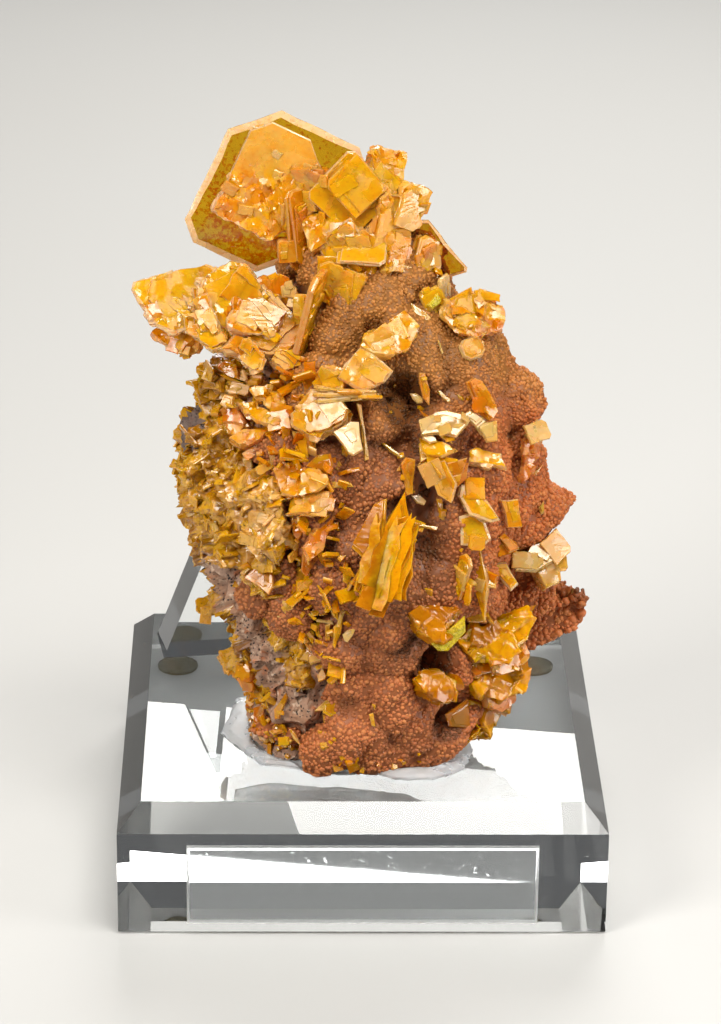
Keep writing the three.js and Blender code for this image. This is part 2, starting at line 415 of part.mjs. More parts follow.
// Crystals that have grown together share one entry
const crystalGroups = {
  crown: [
    slab([-16.6, 4, 125.7], [0, 9], -25.5, [24.8, 28.7], 1.3, [7.3, 2, 9, 3.2]),
    slab([-17, 0, 129.4], [4, 13], -26, [14.5, 19.5], 2.6, [3, 4, 3, 1]),
    slab([-18.4, 1.6, 134.7], [-5, 20], -30, [7, 8], 1.4, [1, 0, 1, 0]),
    slab([-10.1, -1, 127.7], [-30, 10], 0, [5, 9], 2.2, [1, 0, 2, 0]),
    slab([-11.5, -2.5, 120.8], [45, 5], 2, [6, 16], 1.6, [1, 1, 2, 2]),
    slab([-14.1, -3, 117.4], [5, 8], 3, [3.4, 4.2], 4, [0.4, 0, 0.4, 0]),
    slab([-2.6, -2, 127.2], [5, 14], 44, [12.5, 12.5], 2.4, [1, 1, 1.5, 3.4]),
    slab([-1.8, -3.3, 129.6], [8, 18], 40, [8, 8.5], 1.6, [1, 0, 1, 0]),
    slab([3.2, 1, 130.7], [22, 22], -18, [7, 8.5], 3, [1.5, 0, 1.5, 0]),
    slab([7.5, -1, 124.8], [35, 10], -28, [6, 8], 2.5, [1, 0, 1.5, 0]),
    slab([-4, -6, 119.1], [-12, 5], 32, [8, 8], 1.3, [0.5, 0, 0.8, 0]),
    slab([-7.6, -4, 121.9], [-20, 30], 35, [7, 6.5], 2, [0.6, 0, 0.8, 0]),
    slab([-0.6, -7, 118.9], [0, 58], -5, [8.8, 6.5], 1.3, [1, 0, 1, 0]),
    slab([4.1, -3, 122.2], [20, 10], -15, [6, 12], 3, [1.5, 1, 1, 1]),
    slab([5.4, -5, 117.8], [30, 20], -10, [5.5, 8], 2.5, [1, 0, 1, 0]),
    slab([-4.9, -9, 112.7], [-12, 15], -20, [8.5, 7.5], 2, [1.5, 0, 1.5, 0]),
    slab([-4.5, 2, 122.3], [0, 15], 0, [14, 16], 6, [3, 3, 3, 3]),
    slab([-2.7, -4.5, 115.3], [0, 12], 0, [9, 14], 6, [2, 2, 2, 2]),
  ],
  long_blade: [
    slab([-10.1, -13, 108.1], [72, -13], 0, [8, 17.5], 1.2, [2, 1, 2, 3]),
    slab([-11.5, -13.5, 110.4], [-15, 15], 5, [2.6, 4.6], 2.6, [0.5, 0.5, 0.5, 0.5]),
  ],
  wing: [
    slabOf([12.8, -1, 116.7], [-8, 10], 1.6,
      [[-1.5, 5.5], [5.9, -2.9], [5.8, -3.6], [1.8, -5.2], [-2, -2.2], [-5.7, 3.1], [-4.5, 5.5]]),
    slab([10.9, -2.6, 115.1], [40, 10], -30, [6, 9], 3, [1, 1, 1, 1]),
  ],
  white_splinter: [
    slab([14.3, -6, 110.9], [65, 5], 0, [4, 5.5], 0.8, [0.5, 0.5, 1, 0.5]),
    slab([12.4, -8, 109.8], [10, 20], 20, [4.5, 4.5], 1.5, [0.5, 0.8, 0.8, 0.5]),
  ],
  left: [
    slabOf([-33.7, -8, 110.3], [2, 40], 1.5,
      [[-8.5, 1.3], [-8.1, 2.9], [-0.4, 4.6], [5.4, 5.7], [8.8, 4], [7.9, -5], [-0.8, -7.4], [-4.2, -6]]),
    slabOf([-23.8, -9, 110.7], [5, 32], 2.6,
      [[-5.3, 4], [-0.2, 6.1], [2.9, 5.3], [5.4, 1.4], [6.4, -1.4], [3.9, -4.8], [-1.6, -6.1], [-5.1, -3.8],
        [-6.4, -0.5]]),
    slabOf([-19.5, -12.6, 107], [12, 38], 3,
      [[-5.4, -0.4], [-3.7, 4.5], [1.2, 3.8], [5.2, 0.9], [3.5, -1.1], [2.5, -3.1], [0, -2.7], [-3.2, -2.1]]),
    slabOf([-28.8, -13, 105.7], [0, 42], 1.6,
      [[-4, -0.6], [-3.3, 2.6], [-0.8, 3.4], [2.4, 1.5], [4.2, -2.9], [1.6, -4]]),
    slabOf([-21.2, -16, 101.8], [6, 35], 2.2,
      [[-3.8, 1.4], [-1.9, 3.5], [0.7, 3.1], [3.4, -0.3], [2.6, -2.7], [1.1, -3], [-0.3, -2], [-1.8, 0]]),
    slabOf([-14.2, -15.5, 100], [15, 35], 2.2,
      [[-3.1, 0.9], [-2, 2.6], [1.1, 2.3], [2.7, 0.3], [2, -2.6], [0.6, -3], [-1.3, -0.6]]),
    slabOf([-28.1, -13, 107.7], [-12, 30], 1.8,
      [[-3.2, 3.3], [-0.7, 4.1], [2.2, -0.6], [2.6, -2.6], [0.8, -3.1], [-1.8, -1.1]]),
    slabOf([-33.4, -10, 107.2], [-10, 40], 1.6,
      [[-4.1, 0.9], [-1.7, 3.5], [1.3, 2.6], [3.5, -1.5], [2.4, -3.1], [-1.4, -2.4]]),
    slabOf([-21, -9.6, 104.9], [8, 38], 6,
      [[-9.9, 7.2], [3.1, 7], [9.4, -0.9], [8.1, -7.6], [-0.1, -5.7], [-10.5, 0.1]]),
  ],
  left_fragment: [
    slabOf([-33.9, -9.5, 101.9], [-15, 45], 2,
      [[-4.7, 1.2], [-3.6, 2.6], [2.1, 1.2], [4.4, -0.2], [2.5, -1.9], [0.8, -1.5], [-1.6, -1.3]]),
  ],
  upper_centre: [
    slabOf([4.3, -16.7, 105.4], [12, 45], 2,
      [[-5.8, -1.1], [-4.8, 0.7], [-2.4, 1.7], [3.5, 5.3], [5.9, 2], [4.8, -0.2], [3.2, -2.3], [-0.5, -3.4],
        [-3.8, -2.7]]),
    slabOf([0.4, -21.2, 100.6], [-4, 30], 1.2,
      [[-5.4, -0.8], [-1.6, 4.8], [4.4, 0.7], [3.2, -1.7], [-0.7, -3]]),
    slabOf([-6.6, -19.8, 98.9], [-18, 20], 2,
      [[-2.8, -0.9], [-1.4, 2.3], [2.8, 1.8], [3.2, -1.3], [-1.8, -1.9]]),
  ],
  layered_cluster: [
    slabOf([-7.5, -23.6, 93.5], [-10, 30], 3.4,
      [[-4.8, -2.2], [-5.1, 0.5], [-2.5, 4.3], [1.6, 4.4], [5, 1], [4.6, -0.8], [1.7, -2.6], [-0.6, -4.7]]),
    slab([-3.3, -21.7, 96.8], [178, 70], -8, [11.5, 8], 0.8, [1, 1, 1, 1]),
  ],
  mirror_plate: [
    slabOf([-2.6, -27.5, 90.6], [4, 40], 1,
      [[-3.2, 1.4], [0.1, 3.3], [1.5, 3.2], [2, -2.1], [0.2, -3.1], [-0.6, -2.7]]),
  ],
  right_upper: [
    slabOf([19.7, -8, 107], [25, 28], 4,
      [[-6.5, 0.9], [-4.3, 3.5], [0.8, 4.4], [4.7, 2.6], [4.8, -0.6], [3.9, -3.4], [0, -4.5], [-3.5, -2.9]]),
    slabOf([17.3, -11, 106.6], [12, 36], 1.8,
      [[-3.6, 1.4], [-2.1, 3], [0.1, 2.5], [2.3, 0.8], [3.6, -2.9], [1.2, -3.2], [-1.4, -1.5]]),
    slabOf([17.6, -9, 110.3], [5, 25], 0.9,
      [[1.6, 2.2], [-2.6, 0.1], [-1, -1.7], [1.9, -0.6]]),
    slabOf([20.7, -9.5, 109.7], [-18, 25], 1,
      [[-1.5, 1], [-0.6, 2.5], [1.4, 0.2], [1, -2.1], [-0.4, -1.6]]),
  ],
  right_disc: [
    slab([19.2, -13.5, 102.6], [18, 40], 10, [4.4, 4], 1.6, [1, 1, 1, 1]),
  ],
  right_blade: [
    slabOf([20.7, -19.2, 95.4], [22, 28], 2,
      [[-2.2, 3.1], [-0.9, 3.6], [0.5, 2.9], [2.8, -2.7], [0.9, -4.5], [-1.1, -2.4]]),
  ],
  cream_group: [
    slabOf([14.2, -23.1, 91.9], [4, 42], 1.4,
      [[-4.5, -2.2], [-3.6, 0.6], [-1.6, 2.1], [0.4, 2.4], [4, 1.4], [4.4, 0.2], [1.9, -2.6], [-1.1, -1.9]]),
  ],
  cream_chip: [
    slabOf([19.5, -21.6, 92.2], [8, 45], 1.4,
      [[-2.2, 0.7], [-0.3, 1.7], [2, -0.5], [0.4, -1.8]]),
  ],
  cream_square: [
    slabOf([22.1, -21.9, 89.8], [14, 36], 1.2,
      [[-2.5, 1.7], [1.8, 2], [1.3, -1.8], [-0.7, -1.9]]),
  ],
  yellow_shelf: [
    slabOf([12.6, -24.8, 87.7], [-4, 50], 1.6,
      [[-3.1, 1.7], [0.1, 1.8], [3.9, -0.1], [1.1, -1.8], [-2.1, -1.7]]),
  ],
  yellow_bar: [
    slabOf([21.5, -21.9, 84.3], [6, 50], 1.6,
      [[-2.8, 1.2], [-1.5, 1.7], [2.9, 0.7], [3.7, -1.9], [0.7, -1.2], [-3, -0.5]]),
  ],
  edge_cream: [
    slabOf([31.1, -12.5, 86], [28, 40], 2,
      [[-2.7, -0.3], [0.8, 2.2], [2.5, 0.5], [1.6, -0.7], [-2.1, -1.6]]),
  ],
  tan_plates: [
    slabOf([14, -27.6, 82.6], [-14, 22], 1.4,
      [[-3.3, 2.6], [-0.2, 3.8], [2.4, -0.2], [1.8, -3.7], [-0.8, -2.5]]),
    slabOf([16.2, -26.6, 83.6], [10, 18], 1.2,
      [[-1.7, 2.1], [2.1, 2.8], [0.4, -2.1], [-0.9, -2.8]]),
  ],
  hooked_plate: [
    slabOf([19.9, -25.8, 77.4], [16, 34], 2.2,
      [[-2.4, 3.7], [-0.5, 3.5], [2.1, 0.1], [3.8, -3.4], [1.9, -3.6], [-1.8, -1.9], [-3.1, 1.7]]),
    slabOf([19.7, -26.2, 72.6], [8, 12], 1.8,
      [[-2.9, 2.7], [-2.6, -2.6], [1.4, -3.2], [3, -1.8], [1.8, 1.7], [-0.7, 3.3]]),
  ],
  square_plate: [
    slabOf([26.6, -21.8, 73.9], [18, 18], 1.2,
      [[-2, 2.7], [1.4, 2.5], [1.7, -2.7], [-1.1, -2.5]]),
  ],
  small_wedge: [
    slabOf([26, -22.4, 68.3], [12, 34], 1.4,
      [[-1.7, 1.1], [-0.5, 1.9], [2.1, -1.2], [0.1, -1.8]]),
  ],
  striated_blade: [
    slabOf([21.1, -26.5, 62.6], [-28, 10], 1.4,
      [[-0.7, 6.8], [-2.1, 3.2], [-0.5, -2.5], [1.6, -7.2], [1.7, -0.4]]),
  ],
  thin_blade: [
    slab([17.4, -28.5, 64.2], [-58, 8], -14, [3.5, 9.5], 0.8, [1, 1, 1, 1]),
  ],
  edged_plate: [
    slabOf([25.7, -22.3, 61.9], [14, 36], 1.2,
      [[-3.2, 2.6], [0.5, 2.4], [2.2, -1.9], [0.6, -3.1]]),
  ],
  lobe_plates: [
    slabOf([31.3, -15, 61.3], [12, 48], 1.2,
      [[-3.6, 0.5], [2.2, 2.9], [5, 0.3], [0.1, -2.1], [-3.7, -1.5]]),
  ],
  lobe_block: [
    slabOf([34.1, -14, 58.2], [22, 38], 2.6,
      [[-2.9, 1.8], [2.6, 2.5], [1.9, -1.6], [-1.5, -2.7]]),
  ],
  lobe_triangle: [
    slabOf([35.7, -12, 63.5], [30, 35], 1,
      [[-2.5, 0.4], [1.2, 2], [2, -0.3], [-0.7, -2.1]]),
  ],
  centre_blades: [
    slabOf([4.2, -32, 69.4], [8, 22], 2.6,
      [[3.5, 11.9], [4.4, 5], [3.5, -3.5], [0.5, -5.1], [-1, -7.2], [-5.5, -6.4], [-4.5, -0.2], [-1, 5.3]]),
    slabOf([1.3, -30.1, 74.5], [-28, 20], 1.6,
      [[-3.3, -4.1], [-0.3, 4.3], [1.5, 5.7], [2.3, 0.2], [-0.2, -6.1]]),
  ],
  peach_blade: [
    slabOf([-9.2, -28.9, 78.2], [-14, 50], 1.6,
      [[-4.8, -2.4], [-1, 1.4], [2.3, 3.4], [3.6, 0.7], [1.4, -1.5], [-1.5, -1.6]]),
  ],
  orange_block: [
    slabOf([-11.5, -26.3, 82.1], [-14, 30], 3,
      [[-4.9, 1.3], [-2, 3.2], [0.1, 2.6], [5.3, 0.6], [3.4, -1.7], [0.8, -3.1], [-2.9, -2.9]]),
  ],
  flank_ledge: [
    slabOf([-17.9, -19.2, 91.7], [-20, 40], 2,
      [[-5.5, 1.5], [-2.2, 2], [4.1, -0.4], [4.5, -1.8], [-1, -1.3]]),
    slabOf([-16.7, -18.1, 94.3], [-10, 35], 2,
      [[-4.1, 1.6], [-0.6, 2.5], [2.5, 0.5], [2.7, -2.8], [-0.5, -1.9]]),
  ],
  flank_lenses: [
    slabOf([-20.8, -19.8, 87.6], [-24, 40], 2.4,
      [[-3.5, -0.8], [-1.8, 1], [3.6, 1.8], [2.6, -0.1], [-0.9, -1.9]]),
    slabOf([-23, -16, 89.2], [-30, 20], 2.4,
      [[-2.9, 1.9], [-0.1, 2.6], [2.1, 0.1], [1.7, -2.2], [-0.9, -2.4]]),
  ],
  low_left: [
    slabOf([-23.4, -10, 37.9], [-30, 15], 2.4,
      [[-3, 0.6], [-0.3, 2.5], [2.2, 0.9], [2.2, -2.5], [-1.2, -1.5]]),
  ],
  olive_crystal: [
    slabOf([12.4, -31.9, 56.8], [8, 34], 4,
      [[-4.6, 1.9], [-1.3, 3.1], [3.8, 2.7], [5, 1.4], [1.3, -3.8], [-0.7, -3.6], [-3.4, -1.7]]),
  ],
  amber_blocks: [
    slabOf([13, -30.2, 43.3], [14, 30], 5,
      [[-4.3, 1.6], [-2.4, 3.4], [0.6, 3.3], [3.9, 0.4], [3, -3.4], [0.7, -3.7], [-1.5, -1.5]]),
  ],
  amber_cluster: [
    slabOf([24.2, -20.5, 49], [22, 34], 4.6,
      [[-8.3, -0.1], [-6.1, 2.6], [-0.4, 2.6], [6, 3.5], [8.3, 3.9], [5.7, -2], [0.7, -5.7], [-5.7, -4.7]]),
    slabOf([24.3, -19.5, 40.1], [26, 26], 5.5,
      [[-6.1, 1], [-2.9, 4.9], [5.1, 4.6], [5.6, -0.1], [4.2, -3.6], [-0.5, -4.6], [-5.3, -2.2]]),
    slabOf([22.2, -18.5, 33.2], [26, 16], 5,
      [[-2.7, 4.8], [4.4, 4.2], [7.6, 1.8], [0.4, -4], [-5.3, -6], [-4.3, -0.8]]),
  ],
};

const finishes = {
  acrylic: { color: 0xdfe6ea, roughness: 0.04, metalness: 0 },
  pad: { color: 0xd8cf9f, roughness: 0.2, metalness: 0 },
  putty: { color: 0xb9c4cf, roughness: 0.45, metalness: 0 },
  rock: { color: 0x6f5b52, roughness: 0.95, metalness: 0 },
  mimetite: { color: 0xb4714f, roughness: 0.6, metalness: 0 },
  wulfenite: { color: 0xe39a12, roughness: 0.12, metalness: 0 },
};

const object = new THREE.Group();
object.position.y = labelThickness / 2;

function addPiece(name, geometry, finish) {
  const mesh = new THREE.Mesh(geometry, new THREE.MeshStandardMaterial(finishes[finish]));
  mesh.name = name;
  object.add(mesh);
  return mesh;
}

function addStand(rockGrown, crustGrown) {
  addPiece('acrylic_base', blockGeometry(), 'acrylic');
  const label = addPiece('label_plate', labelGeometry(), 'acrylic');
  label.position.set(0, -(blockSide + labelThickness) / 2, labelBottom + labelHeight / 2);
  const reach = blockSide / 2 - discInset;
  for (const [side, x] of [['left', -reach], ['right', reach]]) {
    for (const [end, y] of [['front', -reach], ['rear', reach]]) {
      addPiece(`foot_disc_${end}_${side}`, discGeometry(), 'pad').position.set(x, y, discHeight / 2);
    }
  }
  const prop = solidOf(propGeometry()).subtract(rockGrown);
  addPiece('rear_prop', geometryOf(prop), 'acrylic');
  const putty = solidOf(puttyRings(0)).subtract(rockGrown).subtract(crustGrown);
  addPiece('putty_pad', geometryOf(putty), 'putty');
}

// Each group of crystals keeps clear of the rock, the crust, the putty and the groups before it
function addCrystals(taken) {
  for (const [group, slabs] of Object.entries(crystalGroups)) {
    const whole = joined(slabs.map((row) => slabSolid(row, 0))).subtract(taken.solid);
    addPiece(`wulfenite_${group}`, geometryOf(whole), 'wulfenite');
    taken.solid = taken.solid.add(joined(slabs.map((row) => slabSolid(row, gap))));
  }
}

const rockGrown = rockSolid(gap);
const crustGrown = crustSolid(gap);
const lumps = (grow) => joined(patchLumps.map((lump, index) => lumpSolid(lump, index, grow)));
const blockRoom = new THREE.BoxGeometry(blockSide, blockSide, blockTop).translate(0, 0, blockTop / 2 + gap);
const underCrust = rockGrown.add(solidOf(blockRoom));
const patch = lumps(0).subtract(underCrust.add(crustGrown));
const dressed = crustGrown.add(lumps(gap));

addStand(rockGrown, dressed);
addPiece('matrix_rock', geometryOf(rockSolid(0)), 'rock');
addPiece('mimetite_crust', geometryOf(crustSolid(0).subtract(underCrust)), 'mimetite');
addPiece('mimetite_patch', geometryOf(patch), 'mimetite');
const underDruse = underCrust.add(dressed).add(solidOf(puttyRings(gap)));
addPiece('wulfenite_druse', geometryOf(druseSolid(0).subtract(underDruse)), 'wulfenite');
addCrystals({ solid: underDruse.add(druseSolid(gap)) });

export default object;
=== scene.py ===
import math
import random

import bmesh
import bpy
import numpy as np
from mathutils import Matrix, Vector, noise
from mathutils.bvhtree import BVHTree


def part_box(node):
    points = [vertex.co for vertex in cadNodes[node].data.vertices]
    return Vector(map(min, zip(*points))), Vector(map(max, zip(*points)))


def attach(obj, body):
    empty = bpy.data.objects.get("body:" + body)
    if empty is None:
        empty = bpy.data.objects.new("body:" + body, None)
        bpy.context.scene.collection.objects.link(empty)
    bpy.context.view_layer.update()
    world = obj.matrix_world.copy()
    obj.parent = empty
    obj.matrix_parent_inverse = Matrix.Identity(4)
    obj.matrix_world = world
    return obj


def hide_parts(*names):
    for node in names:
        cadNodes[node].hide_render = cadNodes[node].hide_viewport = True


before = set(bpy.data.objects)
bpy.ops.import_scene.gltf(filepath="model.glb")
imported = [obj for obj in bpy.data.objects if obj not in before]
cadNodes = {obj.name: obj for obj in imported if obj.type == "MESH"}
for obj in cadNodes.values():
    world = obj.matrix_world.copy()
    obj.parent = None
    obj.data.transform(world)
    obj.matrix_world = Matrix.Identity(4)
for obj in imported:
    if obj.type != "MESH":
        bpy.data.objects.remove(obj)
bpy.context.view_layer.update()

mm = 0.001
standShift = 0.5      # the tables below are in mm from the middle of the stand, which lies this far back
blockTop = 25.0       # top of the acrylic block, mm
fullTurn = 6.28        # in radians, for random directions


def lerp(low, high, share):
    return low + (high - low) * share


def clamp(value, low=0.0, high=1.0):
    return max(low, min(high, value))


def colour(red, green, blue):
    # screen values from 0 to 255 as the linear colour that shaders take
    def linear(value):
        value /= 255
        return value / 12.92 if value <= 0.04045 else ((value + 0.055) / 1.055) ** 2.4
    return (linear(red), linear(green), linear(blue), 1.0)


class Sock:
    # one socket; Python's operators on it add Math nodes
    def __init__(self, board, socket):
        self.board = board
        self.socket = socket

    def maths(self, operation, first, second):
        return self.board.node("ShaderNodeMath", {"operation": operation}, {0: first, 1: second})

    def __add__(self, other):
        return self.maths("ADD", self, other)

    def __radd__(self, other):
        return self.maths("ADD", other, self)

    def __sub__(self, other):
        return self.maths("SUBTRACT", self, other)

    def __rsub__(self, other):
        return self.maths("SUBTRACT", other, self)

    def __mul__(self, other):
        return self.maths("MULTIPLY", self, other)

    def __rmul__(self, other):
        return self.maths("MULTIPLY", other, self)

    def __pow__(self, other):
        return self.maths("POWER", self, other)

    def __rpow__(self, other):
        return self.maths("POWER", other, self)

    def clamped(self):
        return self.board.node("ShaderNodeClamp", {}, {"Value": self})


class Finish:
    # one material and the nodes behind its Principled shader
    def __init__(self, name):
        self.material = bpy.data.materials.new(name)
        self.material.use_nodes = True
        self.tree = self.material.node_tree
        self.tree.nodes.clear()
        self.shader = self.tree.nodes.new("ShaderNodeBsdfPrincipled")
        output = self.tree.nodes.new("ShaderNodeOutputMaterial")
        self.tree.links.new(self.shader.outputs[0], output.inputs["Surface"])

    def feed(self, node, sockets):
        for key, value in sockets.items():
            if isinstance(value, Sock):
                self.tree.links.new(value.socket, node.inputs[key])
            else:
                node.inputs[key].default_value = value

    def node(self, kind, settings=None, sockets=None, out=0):
        made = self.tree.nodes.new(kind)
        for key, value in (settings or {}).items():
            setattr(made, key, value)
        self.feed(made, sockets or {})
        return Sock(self, made.outputs[out])

    def place(self):
        return self.node("ShaderNodeTexCoord", out="Object")

    def axis(self, place, name):
        return self.node("ShaderNodeSeparateXYZ", {}, {0: place}, out=name)

    def stretched(self, place, scale):
        return self.node("ShaderNodeVectorMath", {"operation": "MULTIPLY"}, {0: place, 1: scale})

    def cloud(self, place, size, detail=3.0, rough=0.55):
        # noise whose patches are about this size in metres
        return self.node("ShaderNodeTexNoise", {}, {
            "Vector": place, "Scale": 1 / size, "Detail": detail, "Roughness": rough})

    def cells(self, place, size):
        return self.node("ShaderNodeTexVoronoi", {"feature": "F1"}, {"Vector": place, "Scale": 1 / size})

    def number(self, name):
        # a number kept on the faces of the mesh
        return self.node("ShaderNodeAttribute", {"attribute_name": name}, {}, out="Fac")

    def spread(self, value, low, high):
        # 0 at low, 1 at high
        return self.node("ShaderNodeMapRange", {"clamp": True}, {
            "Value": value, "From Min": low, "From Max": high})

    def blend(self, share, first, second):
        # the sockets of two colours are picked by place, because their names repeat
        return self.node("ShaderNodeMix", {"data_type": "RGBA"}, {0: share, 6: first, 7: second}, out=2)

    def finish(self, sockets, height=None, depth=0.0001, strength=0.5):
        if height is not None:
            relief = {"Height": height, "Distance": depth, "Strength": strength}
            sockets = {**sockets, "Normal": self.node("ShaderNodeBump", {}, relief)}
        self.feed(self.shader, sockets)
        return self.material


def facets(spot, size, reach):
    # flat faces that lean every way, as on crystals grown into each other; also a number for each face
    spot = Vector(spot) / size
    middle = noise.voronoi(spot)[1][0]
    lean = noise.cell_vector(middle + Vector((31, 7, 19)))
    return (spot - middle).dot(lean * 2 - Vector((1, 1, 1))) * reach, lean.x


def facetRise(spot, sizes):
    # what facets of several sizes add to the surface, in mm
    return sum(facets(spot, size, reach)[0] for size, reach in sizes)


def facetShade(spot, size):
    # the number of the face, from 0 to 1
    return facets(spot, size, 1)[1]


def cutFine(work, longest):
    # triangles whose edges aren't longer than this
    bmesh.ops.triangulate(work, faces=work.faces)
    for _ in range(5):
        long = [edge for edge in work.edges if edge.calc_length() > longest]
        if not long:
            break
        bmesh.ops.subdivide_edges(work, edges=long, cuts=1)
        bmesh.ops.triangulate(work, faces=work.faces)
    work.normal_update()


class Soup:
    # many small closed solids for one mesh, with numbers on every face
    def __init__(self):
        self.points = []
        self.faces = []
        self.tone = []
        self.rim = []
        self.cream = []
        self.slots = []

    def prism(self, rings, tone=0.5, cream=0.0, slot=0, rim=0.0):
        # closed by its first and last ring; rings run anticlockwise about the direction they are stacked in
        start = len(self.points)
        count = len(rings[0])
        for ring in rings:
            self.points.extend([tuple(point) for point in ring])
        before = len(self.faces)
        for row in range(len(rings) - 1):
            for column in range(count):
                a = start + row * count + column
                b = start + row * count + (column + 1) % count
                self.faces.append((a, b, b + count, a + count))
        walls = len(self.faces) - before
        last = start + (len(rings) - 1) * count
        self.faces.append(tuple(range(start + count - 1, start - 1, -1)))
        self.faces.append(tuple(range(last, last + count)))
        # the rim number places a painted highlight: full on the bevels, less on the walls
        bands = [1.0] * count + [0.4] * (walls - 2 * count) + [1.0] * count
        # on a clear plate the rim's walls take the honey finish, with cream that is partly paler crystal and
        # partly painted sheen
        frosted = slot == 1 and rim > 0.7     # the rim of a clear plate isn't clear itself
        self.rim.extend([rim * band for band in bands] + [0.0, 0.0])
        self.tone.extend([tone] * (walls + 2))
        self.cream.extend([0.6 if frosted else cream] * walls + [cream, cream])
        self.slots.extend([0 if frosted else slot] * walls + [slot, slot])

    def lump(self, at, basis, rings, habit):
        # a crystal with uneven faces: its slab cut finely, and its points moved in and out
        _, up, normal = basis
        rough = habit["rough"]
        work = bmesh.new()
        rows = [[work.verts.new(point) for point in ring] for ring in rings]
        work.faces.new(rows[0][::-1])
        work.faces.new(rows[-1])
        for low, high in zip(rows, rows[1:]):
            for index in range(len(low)):
                after = (index + 1) % len(low)
                work.faces.new((low[index], low[after], high[after], high[index]))
        cutFine(work, rough["longest"])
        # the side faces take the rim's painted highlight
        rimHighlights = [habit["rim"] if abs(face.normal.dot(normal)) < 0.9 else 0.0 for face in work.faces]
        share = {}
        for vertex, way in [(vertex, vertex.normal.copy()) for vertex in work.verts]:
            # only the part below a height in mm is uneven, where one is given
            height = (vertex.co - at).dot(up)
            share[vertex] = clamp((rough["below"] - height) / 3) if "below" in rough else 1.0
            vertex.co += way * share[vertex] * facetRise(vertex.co, rough["facets"])
        start = len(self.points)
        work.verts.index_update()
        self.points.extend([tuple(vertex.co) for vertex in work.verts])
        for face, rim in zip(work.faces, rimHighlights):
            self.faces.append(tuple(start + vertex.index for vertex in face.verts))
            spot = face.calc_center_median()
            uneven = share[face.verts[0]]
            coarse, fine = (facetShade(spot, rough["facets"][which][0]) for which in (0, -1))
            # cream: partly paler crystal, partly painted sheen, which fades on the uneven lower part; the
            # palest small facets get painted glints
            creamAndSheen = habit["cream"] * (1 - 0.6 * uneven * ("below" in rough))
            self.tone.append(clamp(habit["tone"] + (coarse - 0.5) * 0.6 * uneven))
            self.cream.append(clamp(creamAndSheen + clamp(fine * 4 - 3.2) * 0.5 * uneven))
            self.rim.append(rim)
            self.slots.append(habit["slot"])
        work.free()

    def piece(self, name, finishes, replaces=()):
        mesh = bpy.data.meshes.new(name)
        mesh.from_pydata([tuple(value * mm for value in point) for point in self.points], [], self.faces)
        for key in ("tone", "rim", "cream"):
            mesh.attributes.new(key, "FLOAT", "FACE").data.foreach_set("value", getattr(self, key))
        mesh.polygons.foreach_set("material_index", self.slots)
        faceted(mesh)
        return placed(name, mesh, finishes, replaces)


def faceted(mesh, sharp=28):
    # smooth, but for the edges that are sharper than this many degrees
    mesh.shade_smooth()
    mesh.set_sharp_from_angle(angle=math.radians(sharp))


def placed(name, mesh, finishes, replaces=()):
    made = bpy.data.objects.new(name, mesh)
    bpy.context.scene.collection.objects.link(made)
    for finish in finishes:
        mesh.materials.append(finish)
    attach(made, "root")
    if replaces:
        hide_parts(*replaces)
    return made


# the bevels of the stand's pieces in mm, and the gap that lets light pass both faces of a glued one
stand = {"block": 0.25, "prop": 0.2, "label": 0.15, "pad": 0.1, "gap": 0.03}


def bevelled(made, width):
    edge = made.modifiers.new("edges", "BEVEL")
    edge.width = width * mm
    edge.segments = 2
    edge.limit_method = "ANGLE"
    edge.angle_limit = math.radians(25)


def dressed(name, finish, bevel):
    # a CAD node that keeps its shape: its finish, and a fine bevel on its edges
    node = cadNodes[name]
    node.data.materials.clear()
    node.data.materials.append(finish)
    bevelled(node, bevel)


def clearOf(node, name, finish, bevel, axis, contact):
    # a clear piece's copy, a hair off the face that it's glued to
    mesh = cadNodes[node].data.copy()
    mesh.name = name
    inward = -1 if contact > sum(corner[axis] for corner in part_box(node)) / 2 / mm else 1
    for vertex in mesh.vertices:
        if abs(vertex.co[axis] / mm - contact) < 0.01:
            vertex.co[axis] += inward * stand["gap"] * mm
    mesh.materials.clear()
    bevelled(placed(name, mesh, [finish], [node]), bevel)


def fineCopy(node, longest):
    # a node's mesh cut until no edge is longer than this many mm
    work = bmesh.new()
    work.from_mesh(cadNodes[node].data)
    bmesh.ops.remove_doubles(work, verts=work.verts, dist=0.00001)
    cutFine(work, longest * mm)
    return work


def closeTo(node):
    work = bmesh.new()
    work.from_mesh(cadNodes[node].data)
    tree = BVHTree.FromBMesh(work)
    work.free()
    return tree


# tries for each place that may be taken, and how wide a place's own cell is, in spacings
scatter = {"tries": 2.2, "cell": 0.82}


def scattered(mesh, spacing, chance, keep):
    # points about this far apart on the mesh, in mm, with the face's direction there
    mesh.calc_loop_triangles()
    count = len(mesh.loop_triangles)
    corners = np.empty(count * 3, np.int64)
    mesh.loop_triangles.foreach_get("vertices", corners)
    spots = np.empty(len(mesh.vertices) * 3)
    mesh.vertices.foreach_get("co", spots)
    triangles = spots.reshape(-1, 3)[corners.reshape(-1, 3)] / mm
    cross = np.cross(triangles[:, 1] - triangles[:, 0], triangles[:, 2] - triangles[:, 0])
    area = np.linalg.norm(cross, axis=1) / 2
    wanted = int(area.sum() / spacing ** 2 * scatter["tries"])
    picked = chance.choice(count, wanted, p=area / area.sum())
    u = np.sqrt(chance.random(wanted))[:, None]
    v = chance.random(wanted)[:, None]
    corner = triangles[picked]
    points = corner[:, 0] * (1 - u) + corner[:, 1] * (u * (1 - v)) + corner[:, 2] * (u * v)
    normals = cross[picked] / (np.linalg.norm(cross[picked], axis=1)[:, None] + 1e-12)
    held = keep(points, normals)
    points, normals = points[held], normals[held]
    cell = np.floor(points / (spacing * scatter["cell"])).astype(np.int64)
    _, first = np.unique(cell, axis=0, return_index=True)
    first.sort()
    return points[first], normals[first]


